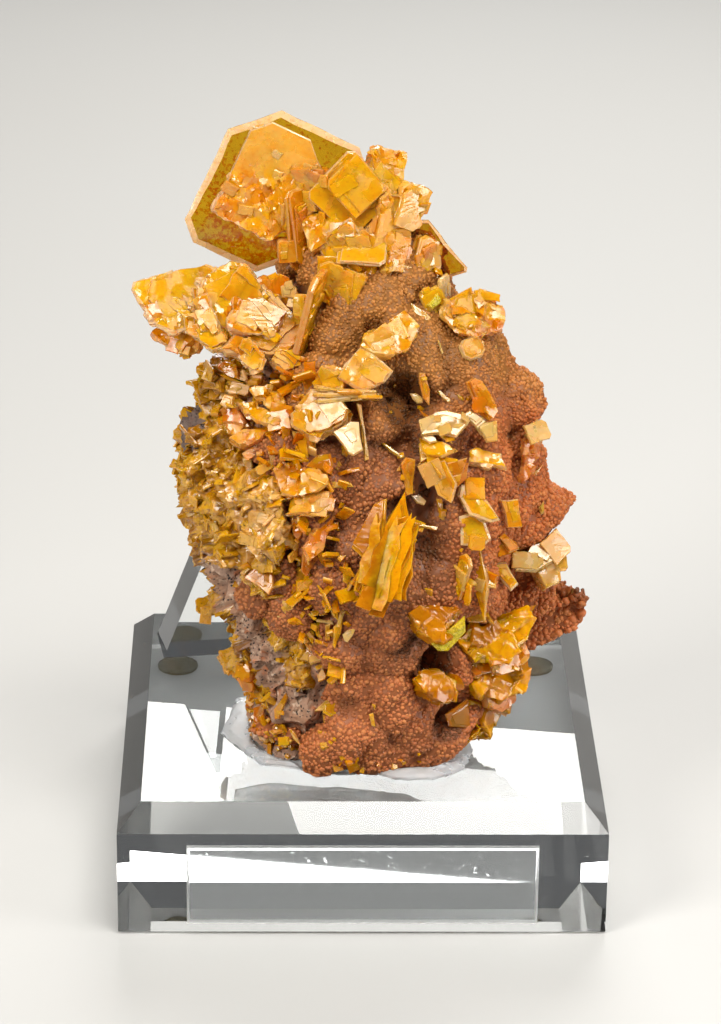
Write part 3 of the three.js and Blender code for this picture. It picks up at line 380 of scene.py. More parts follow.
# what a crystal's look is where it says nothing else
usualLook = {
    "bend": 1.6, "cloudSize": 6 * mm, "striation": 0.3 * mm, "glow": 0.0, "shine": 0.5, "bump": 0.3,
    "satin": 0.32, "rimShare": 0.9, "rimRough": 0.1, "speckShare": 0.3,
}
# in each look, rim is the colour of a painted highlight on the edges, and cream is partly a paler crystal
# colour and partly painted sheen
honey = {
    **usualLook, "deep": colour(226, 126, 0), "gold": colour(246, 168, 2), "lemon": colour(255, 200, 22),
    "rim": colour(250, 212, 164), "cream": colour(238, 192, 110), "speck": colour(190, 96, 6),
    "roughness": 0.07, "clear": 0.42, "glow": 0.35,
}
olive = {
    **usualLook, "deep": colour(190, 134, 6), "gold": colour(210, 158, 18), "lemon": colour(226, 180, 40),
    "rim": colour(255, 218, 170), "cream": colour(250, 220, 170), "speck": colour(190, 88, 0),
    "roughness": 0.02, "clear": 1.0, "bend": 1.5, "striation": 0.5 * mm, "bump": 0.08, "satin": 0.0,
    "rimShare": 1.4, "rimRough": 0.4, "speckShare": 1.0,
    # x and z of the middle of the inclusions, and from how far to how near they crowd, in metres
    "speckSpot": (-0.0185, 0.1215), "speckReach": (0.0135, 0.0075),
}
amber = {
    **usualLook, "deep": colour(178, 104, 0), "gold": colour(224, 148, 0), "lemon": colour(246, 190, 6),
    "rim": colour(255, 208, 110), "cream": colour(250, 206, 150), "speck": colour(150, 70, 4),
    "roughness": 0.05, "clear": 0.2, "striation": 0.5 * mm, "rimShare": 0.5, "glow": 0.7, "shine": 0.3,
    "satin": 0.12,
}
# the few crystals whose striated faces flash yellow
lime = {
    **usualLook, "deep": colour(126, 98, 0), "gold": colour(214, 182, 0), "lemon": colour(250, 226, 14),
    "rim": colour(255, 240, 110), "cream": colour(250, 230, 120), "speck": colour(90, 66, 0),
    "roughness": 0.08, "clear": 0.2, "cloudSize": 1.0 * mm, "striation": 0.25 * mm, "bump": 0.9, "glow": 0.4,
    "speckShare": 0.8,
}
# the mass of intergrown crystals on the left flank
druseLook = {
    **usualLook, "deep": colour(134, 80, 0), "gold": colour(188, 130, 0), "lemon": colour(224, 174, 26),
    "rim": colour(255, 224, 170), "cream": colour(222, 172, 106), "speck": colour(120, 66, 24),
    "roughness": 0.1, "clear": 0.0, "cloudSize": 4 * mm, "glow": 0.4, "bump": 0.8, "speckShare": 0.8,
    "shine": 0.65,
}


def crystalFinish(name, look):
    # translucent tabular crystal: a painted highlight on its rims, cream that is partly paler crystal and
    # partly painted sheen, cloudy inside, fine striations on its faces
    made = Finish(name)
    place = made.place()
    size = look["cloudSize"]
    cloud = made.cloud(place, size)
    fine = made.cloud(place, size * 0.18, 4, 0.65)
    tone = made.number("tone")
    rim = made.number("rim")
    cream = made.number("cream")
    lines = made.cloud(made.stretched(place, (0.25, 1.0, 2.2)), look["striation"] * 3, 2, 0.5)
    body = made.blend(made.spread(cloud + (tone - 0.5) * 0.6, 0.3, 0.66), look["deep"], look["gold"])
    body = made.blend(made.spread(fine + (tone - 0.5) * 0.5, 0.46, 0.78) * 0.45, body, look["lemon"])
    if "speckSpot" in look:
        # inclusions crowd round one spot of the big plate, and lie loosely in the plates on the other side
        x, z = look["speckSpot"]
        aside = made.axis(place, "X") - x
        above = made.axis(place, "Z") - z
        away = (aside * aside + above * above) ** 0.5 + (cloud - 0.5) * 0.006
        crowd = made.spread(away, *look["speckReach"]) * 0.11 + made.spread(aside, 0.02, 0.024) * 0.05
        specks = made.spread(made.cloud(place, size * 0.12, 2, 0.6) + crowd, 0.6, 0.635)
    else:
        specks = made.spread(made.cloud(place, size * 0.12, 1, 0.5), 0.63, 0.68)
    body = made.blend((specks * (1 - cream) * look["speckShare"]).clamped(), body, look["speck"])
    # cream: partly the crystal's paler colour, partly painted sheen and painted glints
    body = made.blend(made.spread(cream + (fine - 0.5) * 0.6, 0.15, 0.9), body, look["cream"])
    # a painted highlight along the rims, broken up by the striations
    body = made.blend(rim * made.spread(fine + lines, 0.5, 1.1) * look["rimShare"], body, look["rim"])
    satin = made.spread(made.cloud(place, size * 0.5, 2), 0.44, 0.6) * look["satin"]
    rough = look["roughness"] + satin + made.spread(fine, 0.5, 0.8) * 0.08 + rim * look["rimRough"]
    return made.finish(
        {"Base Color": body, "Roughness": rough.clamped(), "IOR": look["bend"],
         "Transmission Weight": look["clear"], "Subsurface Weight": look["glow"],
         "Subsurface Radius": (0.9, 0.6, 0.12), "Subsurface Scale": 0.001,
         "Specular IOR Level": look["shine"]},
        height=fine * 0.4 + lines * 0.6, depth=0.0002, strength=look["bump"])


mimetite = {
    "purple": colour(152, 90, 50), "red": colour(178, 96, 44), "tan": colour(166, 108, 46),
    # the dark colour is painted shade, laid in the hollows and between the grains
    "pink": colour(186, 108, 62), "dark": colour(52, 32, 14), "light": colour(214, 142, 78),
    "roughness": 0.45, "shine": 0.3, "lightShare": 0.5, "hollowShadeShare": 0.78,
    # redder to the right between these x, tan above and pink below these z, in metres
    "redFrom": (0.012, 0.026), "tanFrom": (0.088, 0.1), "pinkBelow": (0.062, 0.04),
}


def mimetiteFinish():
    # waxy round grains: purplish in the middle, redder on the right, tan at the top, with painted shade in
    # the hollows
    made = Finish("mimetite")
    place = made.place()
    across = made.axis(place, "X")
    height = made.axis(place, "Z")
    patches = made.cloud(place, 9 * mm) - 0.5
    grain = made.cloud(place, 0.9 * mm, 2) - 0.5
    redness = made.spread(across + patches * 0.02, *mimetite["redFrom"])
    tanness = made.spread(height + patches * 0.02, *mimetite["tanFrom"])
    pinkness = made.spread(height + patches * 0.03, *mimetite["pinkBelow"]) * 0.75
    lightness = made.spread(made.number("tone") + grain * 0.6, 0.45, 1.1) * mimetite["lightShare"]
    # the rim number carries how deep a spot lies; the dark colour there is painted shade
    hollowShade = made.spread(made.number("rim"), 0.2, 0.95) * mimetite["hollowShadeShare"]
    base = made.blend(redness, mimetite["purple"], mimetite["red"])
    base = made.blend(tanness, base, mimetite["tan"])
    base = made.blend(pinkness, base, mimetite["pink"])
    base = made.blend(lightness, base, mimetite["light"])
    base = made.blend(hollowShade, base, mimetite["dark"])
    return made.finish(
        {"Base Color": base, "Roughness": (mimetite["roughness"] + grain * 0.3).clamped(),
         "Specular IOR Level": mimetite["shine"], "Subsurface Weight": 0.15,
         "Subsurface Radius": (1.2, 0.6, 0.3), "Subsurface Scale": 0.0006},
        height=made.cloud(place, 0.35 * mm, 2), depth=0.00005, strength=0.4)


stone = {
    "brown": colour(174, 130, 100), "violet": colour(162, 130, 110), "black": colour(34, 28, 26),
    "cream": colour(220, 192, 166), "ochre": colour(196, 108, 50), "grey": colour(98, 82, 76),
    "roughness": 0.8, "patches": 8 * mm, "grit": 1.1 * mm, "pits": 0.75 * mm,
}


def rockFinish():
    # rough brown rock, with ochre and cream spots, black pits, and grey where it's bare
    made = Finish("rock")
    place = made.place()
    big = made.cloud(place, stone["patches"], 5, 0.6)
    grit = made.cloud(place, stone["grit"], 5, 0.7)
    base = made.blend(made.spread(big, 0.38, 0.62), stone["brown"], stone["violet"])
    base = made.blend(made.spread(made.cloud(place, 3 * mm, 4), 0.55, 0.68) * 0.7, base, stone["ochre"])
    base = made.blend(made.spread(made.cloud(place, 1.6 * mm, 3), 0.54, 0.64) * 0.8, base, stone["cream"])
    base = made.blend(made.spread(made.number("tone"), 0.3, 0.1) * 0.85, base, stone["grey"])
    pits = made.spread(made.cells(place, stone["pits"]) + (grit - 0.5) * 1.3, 0.32, 0.16)
    base = made.blend(pits, base, stone["black"])
    return made.finish(
        {"Base Color": base, "Roughness": (stone["roughness"] + (grit - 0.5) * 0.3).clamped()},
        height=grit + big, depth=0.0004, strength=0.8)


clearParts = {
    "acrylic": colour(247, 250, 251), "frost": colour(255, 255, 255), "pad": colour(233, 221, 178),
    "padRing": colour(214, 190, 130), "bend": 1.49,
    # the plate is frosted from nothing to fully between these distances from its edge, in metres
    "frosted": (0.00055, 0.0003),
}


def acrylicFinish():
    # polished clear acrylic, with the faint haze of handling
    made = Finish("acrylic")
    place = made.place()
    haze = made.spread(made.cloud(place, 22 * mm, 4), 0.5, 0.8)
    scuffs = made.spread(made.cloud(made.stretched(place, (1, 6, 1)), 3 * mm, 2), 0.72, 0.76)
    return made.finish(
        {"Base Color": clearParts["acrylic"], "Roughness": (haze * 0.02 + scuffs * 0.04).clamped(),
         "IOR": clearParts["bend"], "Transmission Weight": 1.0})


def plateFinish(box):
    # clear plate whose cut edges and border are frosted
    made = Finish("plate")
    place = made.place()

    def toEdge(name, axis):
        low, high = box[0][axis], box[1][axis]
        offset = made.axis(place, name) - (low + high) / 2
        return (high - low) / 2 - made.node("ShaderNodeMath", {"operation": "ABSOLUTE"}, {0: offset})

    nearest = made.node("ShaderNodeMath", {"operation": "MINIMUM"}, {0: toEdge("X", 0), 1: toEdge("Z", 2)})
    border = made.spread(nearest, *clearParts["frosted"])
    tint = made.blend(border, clearParts["acrylic"], clearParts["frost"])
    dust = made.spread(made.cloud(place, 1.2 * mm, 2), 0.66, 0.74)
    return made.finish(
        {"Base Color": tint, "Roughness": (0.02 + border * 0.5 + dust * 0.1).clamped(),
         "IOR": clearParts["bend"], "Transmission Weight": 0.92})


def padFinish():
    # soft clear pads, yellowed in rings
    made = Finish("pad")
    place = made.place()
    ring = made.cloud(place, 1.5 * mm, 3)
    tint = made.blend(made.spread(ring, 0.4, 0.7), clearParts["pad"], clearParts["padRing"])
    return made.finish(
        {"Base Color": tint, "Roughness": (0.12 + ring * 0.15).clamped(), "IOR": 1.5,
         "Transmission Weight": 0.75},
        height=ring, depth=0.00005, strength=0.3)


puttyLook = {
    "body": colour(238, 242, 246), "thick": colour(252, 252, 252),
    "roughness": 0.3, "bend": 1.3, "clear": 0.7,
}


def puttyFinish():
    # clear putty, cloudy with folds
    made = Finish("putty")
    place = made.place()
    fold = made.cloud(place, 4 * mm, 3)
    tint = made.blend(made.spread(fold, 0.35, 0.65), puttyLook["body"], puttyLook["thick"])
    return made.finish(
        {"Base Color": tint, "Roughness": (puttyLook["roughness"] + (fold - 0.5) * 0.3).clamped(),
         "IOR": puttyLook["bend"], "Transmission Weight": puttyLook["clear"]},
        height=made.cloud(place, 1.5 * mm, 3) + fold, depth=0.0003, strength=0.3)


def facing(right, up):
    # degrees to the right of -Y, and degrees up, as the crystal's three directions
    right, up = math.radians(right), math.radians(up)
    normal = Vector((math.sin(right) * math.cos(up), -math.cos(right) * math.cos(up), math.sin(up)))
    across = Vector((math.cos(right), math.sin(right), 0))
    return across, normal.cross(across), normal


def cutRectangle(size, cuts, turn):
    x, y = size[0] / 2, size[1] / 2
    corners = [(-x, y, 1, 0, 0, -1), (x, y, 0, -1, -1, 0), (x, -y, -1, 0, 0, 1), (-x, -y, 0, 1, 1, 0)]
    points = []
    for (cornerX, cornerY, alongX, alongY, beforeX, beforeY), cut in zip(corners, cuts):
        if cut:
            points.append((cornerX + beforeX * cut, cornerY + beforeY * cut))
        points.append((cornerX + alongX * cut, cornerY + alongY * cut))
    cos, sin = math.cos(math.radians(turn)), math.sin(math.radians(turn))
    return [(u * cos - v * sin, u * sin + v * cos) for u, v in reversed(points)]


def slab(at, face, turn, size, thick, cuts):
    return {"at": at, "face": face, "thick": thick, "outline": cutRectangle(size, cuts, turn)}


def sides(outline):
    return zip(outline, outline[1:] + outline[:1])


def signedArea(outline):
    return sum(a[0] * b[1] - b[0] * a[1] for a, b in sides(outline)) / 2


def slabOf(at, face, thick, *corners):
    # the corners of its outline are u and v by turns
    outline = list(zip(corners[::2], corners[1::2]))
    return {"at": at, "face": face, "thick": thick,
            "outline": outline if signedArea(outline) > 0 else outline[::-1]}


def middleOf(outline):
    return [sum(point[axis] for point in outline) / len(outline) for axis in (0, 1)]


def widened(outline, distance):
    # every point moved out from the outline's middle
    x, y = middleOf(outline)
    made = []
    for u, v in outline:
        reach = math.hypot(u - x, v - y)
        scale = max(0.1, (reach + distance) / max(reach, 0.01))
        made.append((x + (u - x) * scale, y + (v - y) * scale))
    return made


def resized(outline, scale, about=None):
    x, y = about or middleOf(outline)
    return [(x + (u - x) * scale, y + (v - y) * scale) for u, v in outline]


def nicked(outline, dice, step, depth):
    # straight edges become slightly stepped ones
    made = []
    for a, b in sides(outline):
        length = math.hypot(b[0] - a[0], b[1] - a[1])
        made.append(a)
        cuts = int(length / step)
        for index in range(1, cuts + 1):
            share = (index + dice.uniform(-0.25, 0.25)) / (cuts + 1)
            inward = dice.uniform(-0.4, 1.0) * depth
            offX, offY = -(b[1] - a[1]) / length * inward, (b[0] - a[0]) / length * inward
            made.append((lerp(a[0], b[0], share) + offX, lerp(a[1], b[1], share) + offY))
    return made


def ringsOf(at, basis, outline, thick, edge):
    # the four rings of points that make a flat crystal whose rim is bevelled to both faces
    across, up, normal = basis
    half = thick / 2
    drop = min(0.35 * thick, 0.4)
    at = Vector(at)
    return [[at + across * u + up * v + normal * height for u, v in widened(outline, distance)]
            for distance, height in ((-edge, -half), (0, -half + drop), (0, half - drop), (-edge, half))]


def plate(soup, at, basis, outline, thick, tone, cream, slot, edge=0.2, rim=0.0):
    soup.prism(ringsOf(at, basis, outline, thick, edge), tone, cream, slot, rim)


def tilted(basis, angle, about):
    # a crystal's directions, leaned by an angle about a line in its own plane
    across, up, normal = basis
    line = across * math.cos(about) + up * math.sin(about)
    turn = Matrix.Rotation(angle, 3, line)
    return turn @ across, turn @ up, turn @ normal


def spun(basis, angle):
    across, up, normal = basis
    turn = Matrix.Rotation(angle, 3, normal)
    return turn @ across, turn @ up, normal


def within(outline, dice):
    # a point inside the outline, nearer its edge than its middle
    edge = dice.randrange(len(outline))
    a, b = outline[edge], outline[(edge + 1) % len(outline)]
    share = dice.random()
    point = (lerp(a[0], b[0], share), lerp(a[1], b[1], share))
    middle = middleOf(outline)
    inward = 1 - dice.random() ** 0.6 * 0.95
    return (lerp(point[0], middle[0], inward), lerp(point[1], middle[1], inward))


# what crystals are built of: layers, low steps, sheets, scales and young crystals, with thicknesses in mm
plates = {
    "layers": 5, "layerShare": (0.84, 1.0), "layerThick": (0.75, 1.05),
    "stepShare": (0.35, 0.8), "stepHeight": (0.08, 0.22),
    "sheetShare": (0.86, 1.02), "sheetThick": (0.5, 1.1), "sheetLean": (2, 9), "sheetLeast": 1.5,
    "scaleThick": (0.35, 0.8), "youngThick": (0.12, 0.3), "groundEach": 9,
}


def grow(soup, row, habit, dice):
    # one crystal of the tables: sub-parallel layers, growth steps on its faces and small crystals on it
    basis = facing(*row["face"])
    normal = basis[2]
    at = Vector(row["at"]) + Vector((0, standShift, 0))
    thick, outline = row["thick"], row["outline"]
    area = abs(signedArea(outline))
    if "rough" in habit and thick > 0.9:
        soup.lump(at, basis, ringsOf(at, basis, outline, thick, habit["edge"]), habit)
        habit = {**habit, "layer": thick * 3, "steps": 0, "bare": True}
    layers = max(1, min(plates["layers"], round(thick / habit["layer"])))
    shares = [1.0] if layers == 1 else [dice.uniform(*plates["layerShare"]) for _ in range(layers)]
    if layers > 1:
        shares[dice.randrange(layers)] = 1.0
    for index, share in enumerate([] if "bare" in habit else shares):
        offset = 0 if layers == 1 else ((index + 0.5) / layers - 0.5) * thick
        corner = dice.choice(outline)
        shape = resized(outline, share, corner)
        angle = dice.uniform(-1, 1) * habit["lean"] * (layers > 1)
        lean = tilted(basis, math.radians(angle), dice.uniform(0, fullTurn))
        tone = clamp(habit["tone"] + dice.uniform(-0.2, 0.2))
        # cream varies per layer: partly paler crystal, partly painted sheen
        cream = clamp(habit["cream"] + dice.uniform(-0.15, 0.15) * (habit["cream"] > 0.05))
        deep = thick if layers == 1 else thick / layers * dice.uniform(*plates["layerThick"])
        plate(soup, at + normal * offset, lean, nicked(shape, dice, habit["nick"], 0.14), deep, tone, cream,
              habit["slot"], habit["edge"], habit["rim"])
    for _ in range(habit["steps"]):
        for side in (1, -1):
            shape = resized(outline, dice.uniform(*plates["stepShare"]), within(outline, dice))
            high = dice.uniform(*plates["stepHeight"])
            tone = clamp(habit["tone"] + dice.uniform(-0.25, 0.25))
            shape = nicked(shape, dice, 2.5, 0.1)
            spot = at + normal * side * (thick / 2 - 0.05)
            plate(soup, spot, basis, shape, high * 2, tone, habit["cream"], habit["slot"])
    if "sheaf" in habit:
        sheaf(soup, at, basis, habit, dice)
    if "terraces" in habit:
        terraces(soup, at, basis, outline, thick, habit, dice)
    for _ in range(int(area * habit["shingles"] / plates["groundEach"] + dice.random())):
        shingle(soup, at, basis, outline, thick, habit, dice)
    for _ in range(int(area * habit["young"] / plates["groundEach"] + dice.random())):
        youngCrystal(soup, at, basis, outline, thick, habit, dice)


def sheaf(soup, at, basis, habit, dice):
    # long thin blades side by side, with wavy flanks and ragged tops
    made = habit["sheaf"]
    basis = spun(basis, -math.radians(made["lean"]))
    across, up, normal = basis
    for index in range(made["count"]):
        share = index / (made["count"] - 1) * 2 - 1
        length, width = dice.uniform(*made["long"]), dice.uniform(*made["wide"])
        length *= 1 - 0.3 * share ** 2
        waves = dice.uniform(0, fullTurn)

        def flank(way, taper, shift):
            edge = []
            for row in range(made["rows"]):
                along = row / made["rows"]
                wave = 0.35 * math.sin(waves + row * 1.7 + shift)
                edge.append((way * width / 2 * (1 - along ** 3 * taper) + wave, (along - 0.5) * length))
            return edge

        right = flank(1, 0.7, 0)
        left = flank(-1, 0.5, 0.5)[::-1]
        tip = [(dice.uniform(0.1, 0.5) * width, length / 2), (0, length / 2 - dice.uniform(0.4, 1.4)),
               (-dice.uniform(0.1, 0.4) * width, length / 2 + dice.uniform(-1, 1))]
        side = spun(basis, math.radians(dice.gauss(0, 4)))
        angle = dice.gauss(0, 8) + made["open"] * (1 if index % 2 else -1)
        side = tilted(side, math.radians(angle), math.pi / 2)
        # every other blade lies deeper and reaches the crust
        out = dice.uniform(-0.3, 1.3) + 1.6 * (1 - share ** 2) - index % 2 * made["deep"]
        spot = at + across * share * made["reach"] + normal * out + up * dice.uniform(-1.5, 1.5)
        thick = dice.uniform(*made["thick"])
        tone = clamp(habit["tone"] + dice.uniform(-0.25, 0.4))
        # a third of the blades get a little cream, partly painted sheen; their rims take a painted highlight
        cream = dice.choice((0, 0, 0.1))
        plate(soup, spot, side, right + tip + left, thick, tone, cream, habit["slot"], 0.15, 0.4)


def clipped(outline, way, offset):
    # the part of an outline that lies further along a direction than the offset
    made = []
    for a, b in sides(outline):
        reachA, reachB = (point[0] * way[0] + point[1] * way[1] - offset for point in (a, b))
        if reachA >= 0:
            made.append(a)
        if (reachA > 0) != (reachB > 0):
            share = reachA / (reachA - reachB)
            made.append((lerp(a[0], b[0], share), lerp(a[1], b[1], share)))
    return made


def terraces(soup, at, basis, outline, thick, habit, dice):
    # sheets that end one behind the other across the face, like stairs with ragged edges
    across, up, normal = basis
    count, angle, rise = habit["terraces"]
    for side in (1, -1):
        for index in range(count):
            turn = math.radians(angle + dice.gauss(0, 13))
            way = (math.cos(turn), math.sin(turn))
            reaches = [u * way[0] + v * way[1] for u, v in outline]
            start = lerp(min(reaches), max(reaches), (index + dice.uniform(0.2, 0.9)) / (count + 0.6))
            shape = clipped(resized(outline, dice.uniform(*plates["sheetShare"])), way, start)
            # each sheet is only part of the width of the face
            beside = (-way[1], way[0])
            for flank in (beside, (-beside[0], -beside[1])):
                widths = [u * flank[0] + v * flank[1] for u, v in shape] or [0]
                cut = lerp(min(widths), max(widths), dice.uniform(0, 0.45))
                shape = clipped(shape, flank, cut)
            if len(shape) < 3 or abs(signedArea(shape)) < plates["sheetLeast"]:
                continue
            middle = middleOf(shape)
            spot = at + across * middle[0] + up * middle[1]
            shape = nicked([(u - middle[0], v - middle[1]) for u, v in shape], dice, 1.1, 0.28)
            lean = tilted(basis, side * math.radians(dice.uniform(*plates["sheetLean"])), turn - math.pi / 2)
            lean = tilted(lean, math.radians(dice.gauss(0, 3)), turn)
            deep = dice.uniform(*plates["sheetThick"]) * rise
            lift = thick / 2 + index * rise * 0.45 + dice.uniform(0, 0.5) * rise
            tone = clamp(habit["tone"] + dice.uniform(-0.25, 0.3))
            # cream varies per sheet: partly paler crystal, partly painted sheen
            cream = habit["cream"] * dice.uniform(0, 2)
            spot += normal * side * lift
            plate(soup, spot, lean, shape, deep, tone, cream, habit["slot"], 0.12, habit["rim"])


def cornersOff(width, dice):
    # how much is cut off each corner: often nothing
    return [max(0, dice.uniform(-0.2, 0.22)) * width for _ in range(4)]


def smallSlot(habit):
    # what grows on a clear crystal is honey-coloured
    return 0 if habit["slot"] == 1 else habit["slot"]


def shingle(soup, at, basis, outline, thick, habit, dice):
    # a scale that lies on a bigger crystal and has grown almost parallel to it
    across, up, normal = basis
    u, v = within(outline, dice)
    side = 1 if dice.random() < 0.7 else -1
    width = dice.uniform(*habit["scaleSize"])
    size = (width, width * dice.uniform(0.5, 1.1))
    shape = cutRectangle(size, cornersOff(width, dice), dice.gauss(habit["turn"], 12))
    shape = nicked(shape, dice, 1.2, 0.12)
    slope = math.radians(dice.uniform(*habit["slope"]))
    lean = tilted(basis, slope, math.radians(habit["turn"]) + dice.gauss(0, 0.35))
    lift = thick / 2 + dice.uniform(-0.03, 0.05) * width
    tone = clamp(habit["tone"] + dice.uniform(-0.25, 0.35))
    # now and then a paler scale: partly paler crystal, partly a painted glint
    cream = clamp(habit["cream"] + (dice.random() < habit["youngCreamAndGlint"]) * dice.uniform(0.2, 0.7))
    spot = at + across * u + up * v + normal * side * lift
    plate(soup, spot, lean, shape, dice.uniform(*plates["scaleThick"]), tone, cream, smallSlot(habit), 0.15)


def youngCrystal(soup, at, basis, outline, thick, habit, dice):
    # a small crystal that stands out of a bigger one's face or edge
    across, up, normal = basis
    u, v = within(outline, dice)
    side = 1 if dice.random() < 0.8 else -1
    width = dice.uniform(*habit["youngSize"])
    size = (width, width * dice.uniform(0.6, 1.2))
    shape = cutRectangle(size, cornersOff(width, dice), dice.uniform(0, 90))
    lean = tilted(basis, math.radians(dice.uniform(*habit["youngLean"])), dice.uniform(0, fullTurn))
    lift = thick / 2 + dice.uniform(-0.2, 0.25) * width * 0.5
    tone = clamp(habit["tone"] + dice.uniform(-0.3, 0.4))
    # now and then a paler young crystal: partly paler crystal, partly a painted glint
    cream = clamp(habit["cream"] + (dice.random() < habit["youngCreamAndGlint"]) * dice.uniform(0.3, 0.9))
    spot = at + across * u + up * v + normal * side * lift
    deep = width * 0.06 + dice.uniform(*plates["youngThick"])
    plate(soup, spot, lean, shape, deep, tone, cream, smallSlot(habit), 0.1)


# cream is partly the crystals' paler colour and partly painted sheen and glints; rim is how strongly the
# edges take a painted highlight
usualHabit = {
    "tone": 0.5, "cream": 0.06, "slot": 0, "layer": 0.8, "lean": 3.5, "nick": 3.0, "steps": 2, "edge": 0.2,
    "turn": 0, "shingles": 1.0, "scaleSize": (2.0, 5.0), "slope": (3, 16), "young": 0.35,
    "youngSize": (1.2, 3.2), "youngLean": (25, 75), "youngCreamAndGlint": 0.1, "rim": 0.25,
}
alone = {"young": 0.0, "shingles": 0.0}     # nothing grows on it
# uneven faces of two kinds: the size in mm and the slope of the small faces on them
uneven = {"longest": 0.8, "facets": ((4.2, 1.1), (1.8, 0.45))}
wavy = {"longest": 0.9, "facets": ((5.0, 0.8), (2.0, 0.25))}
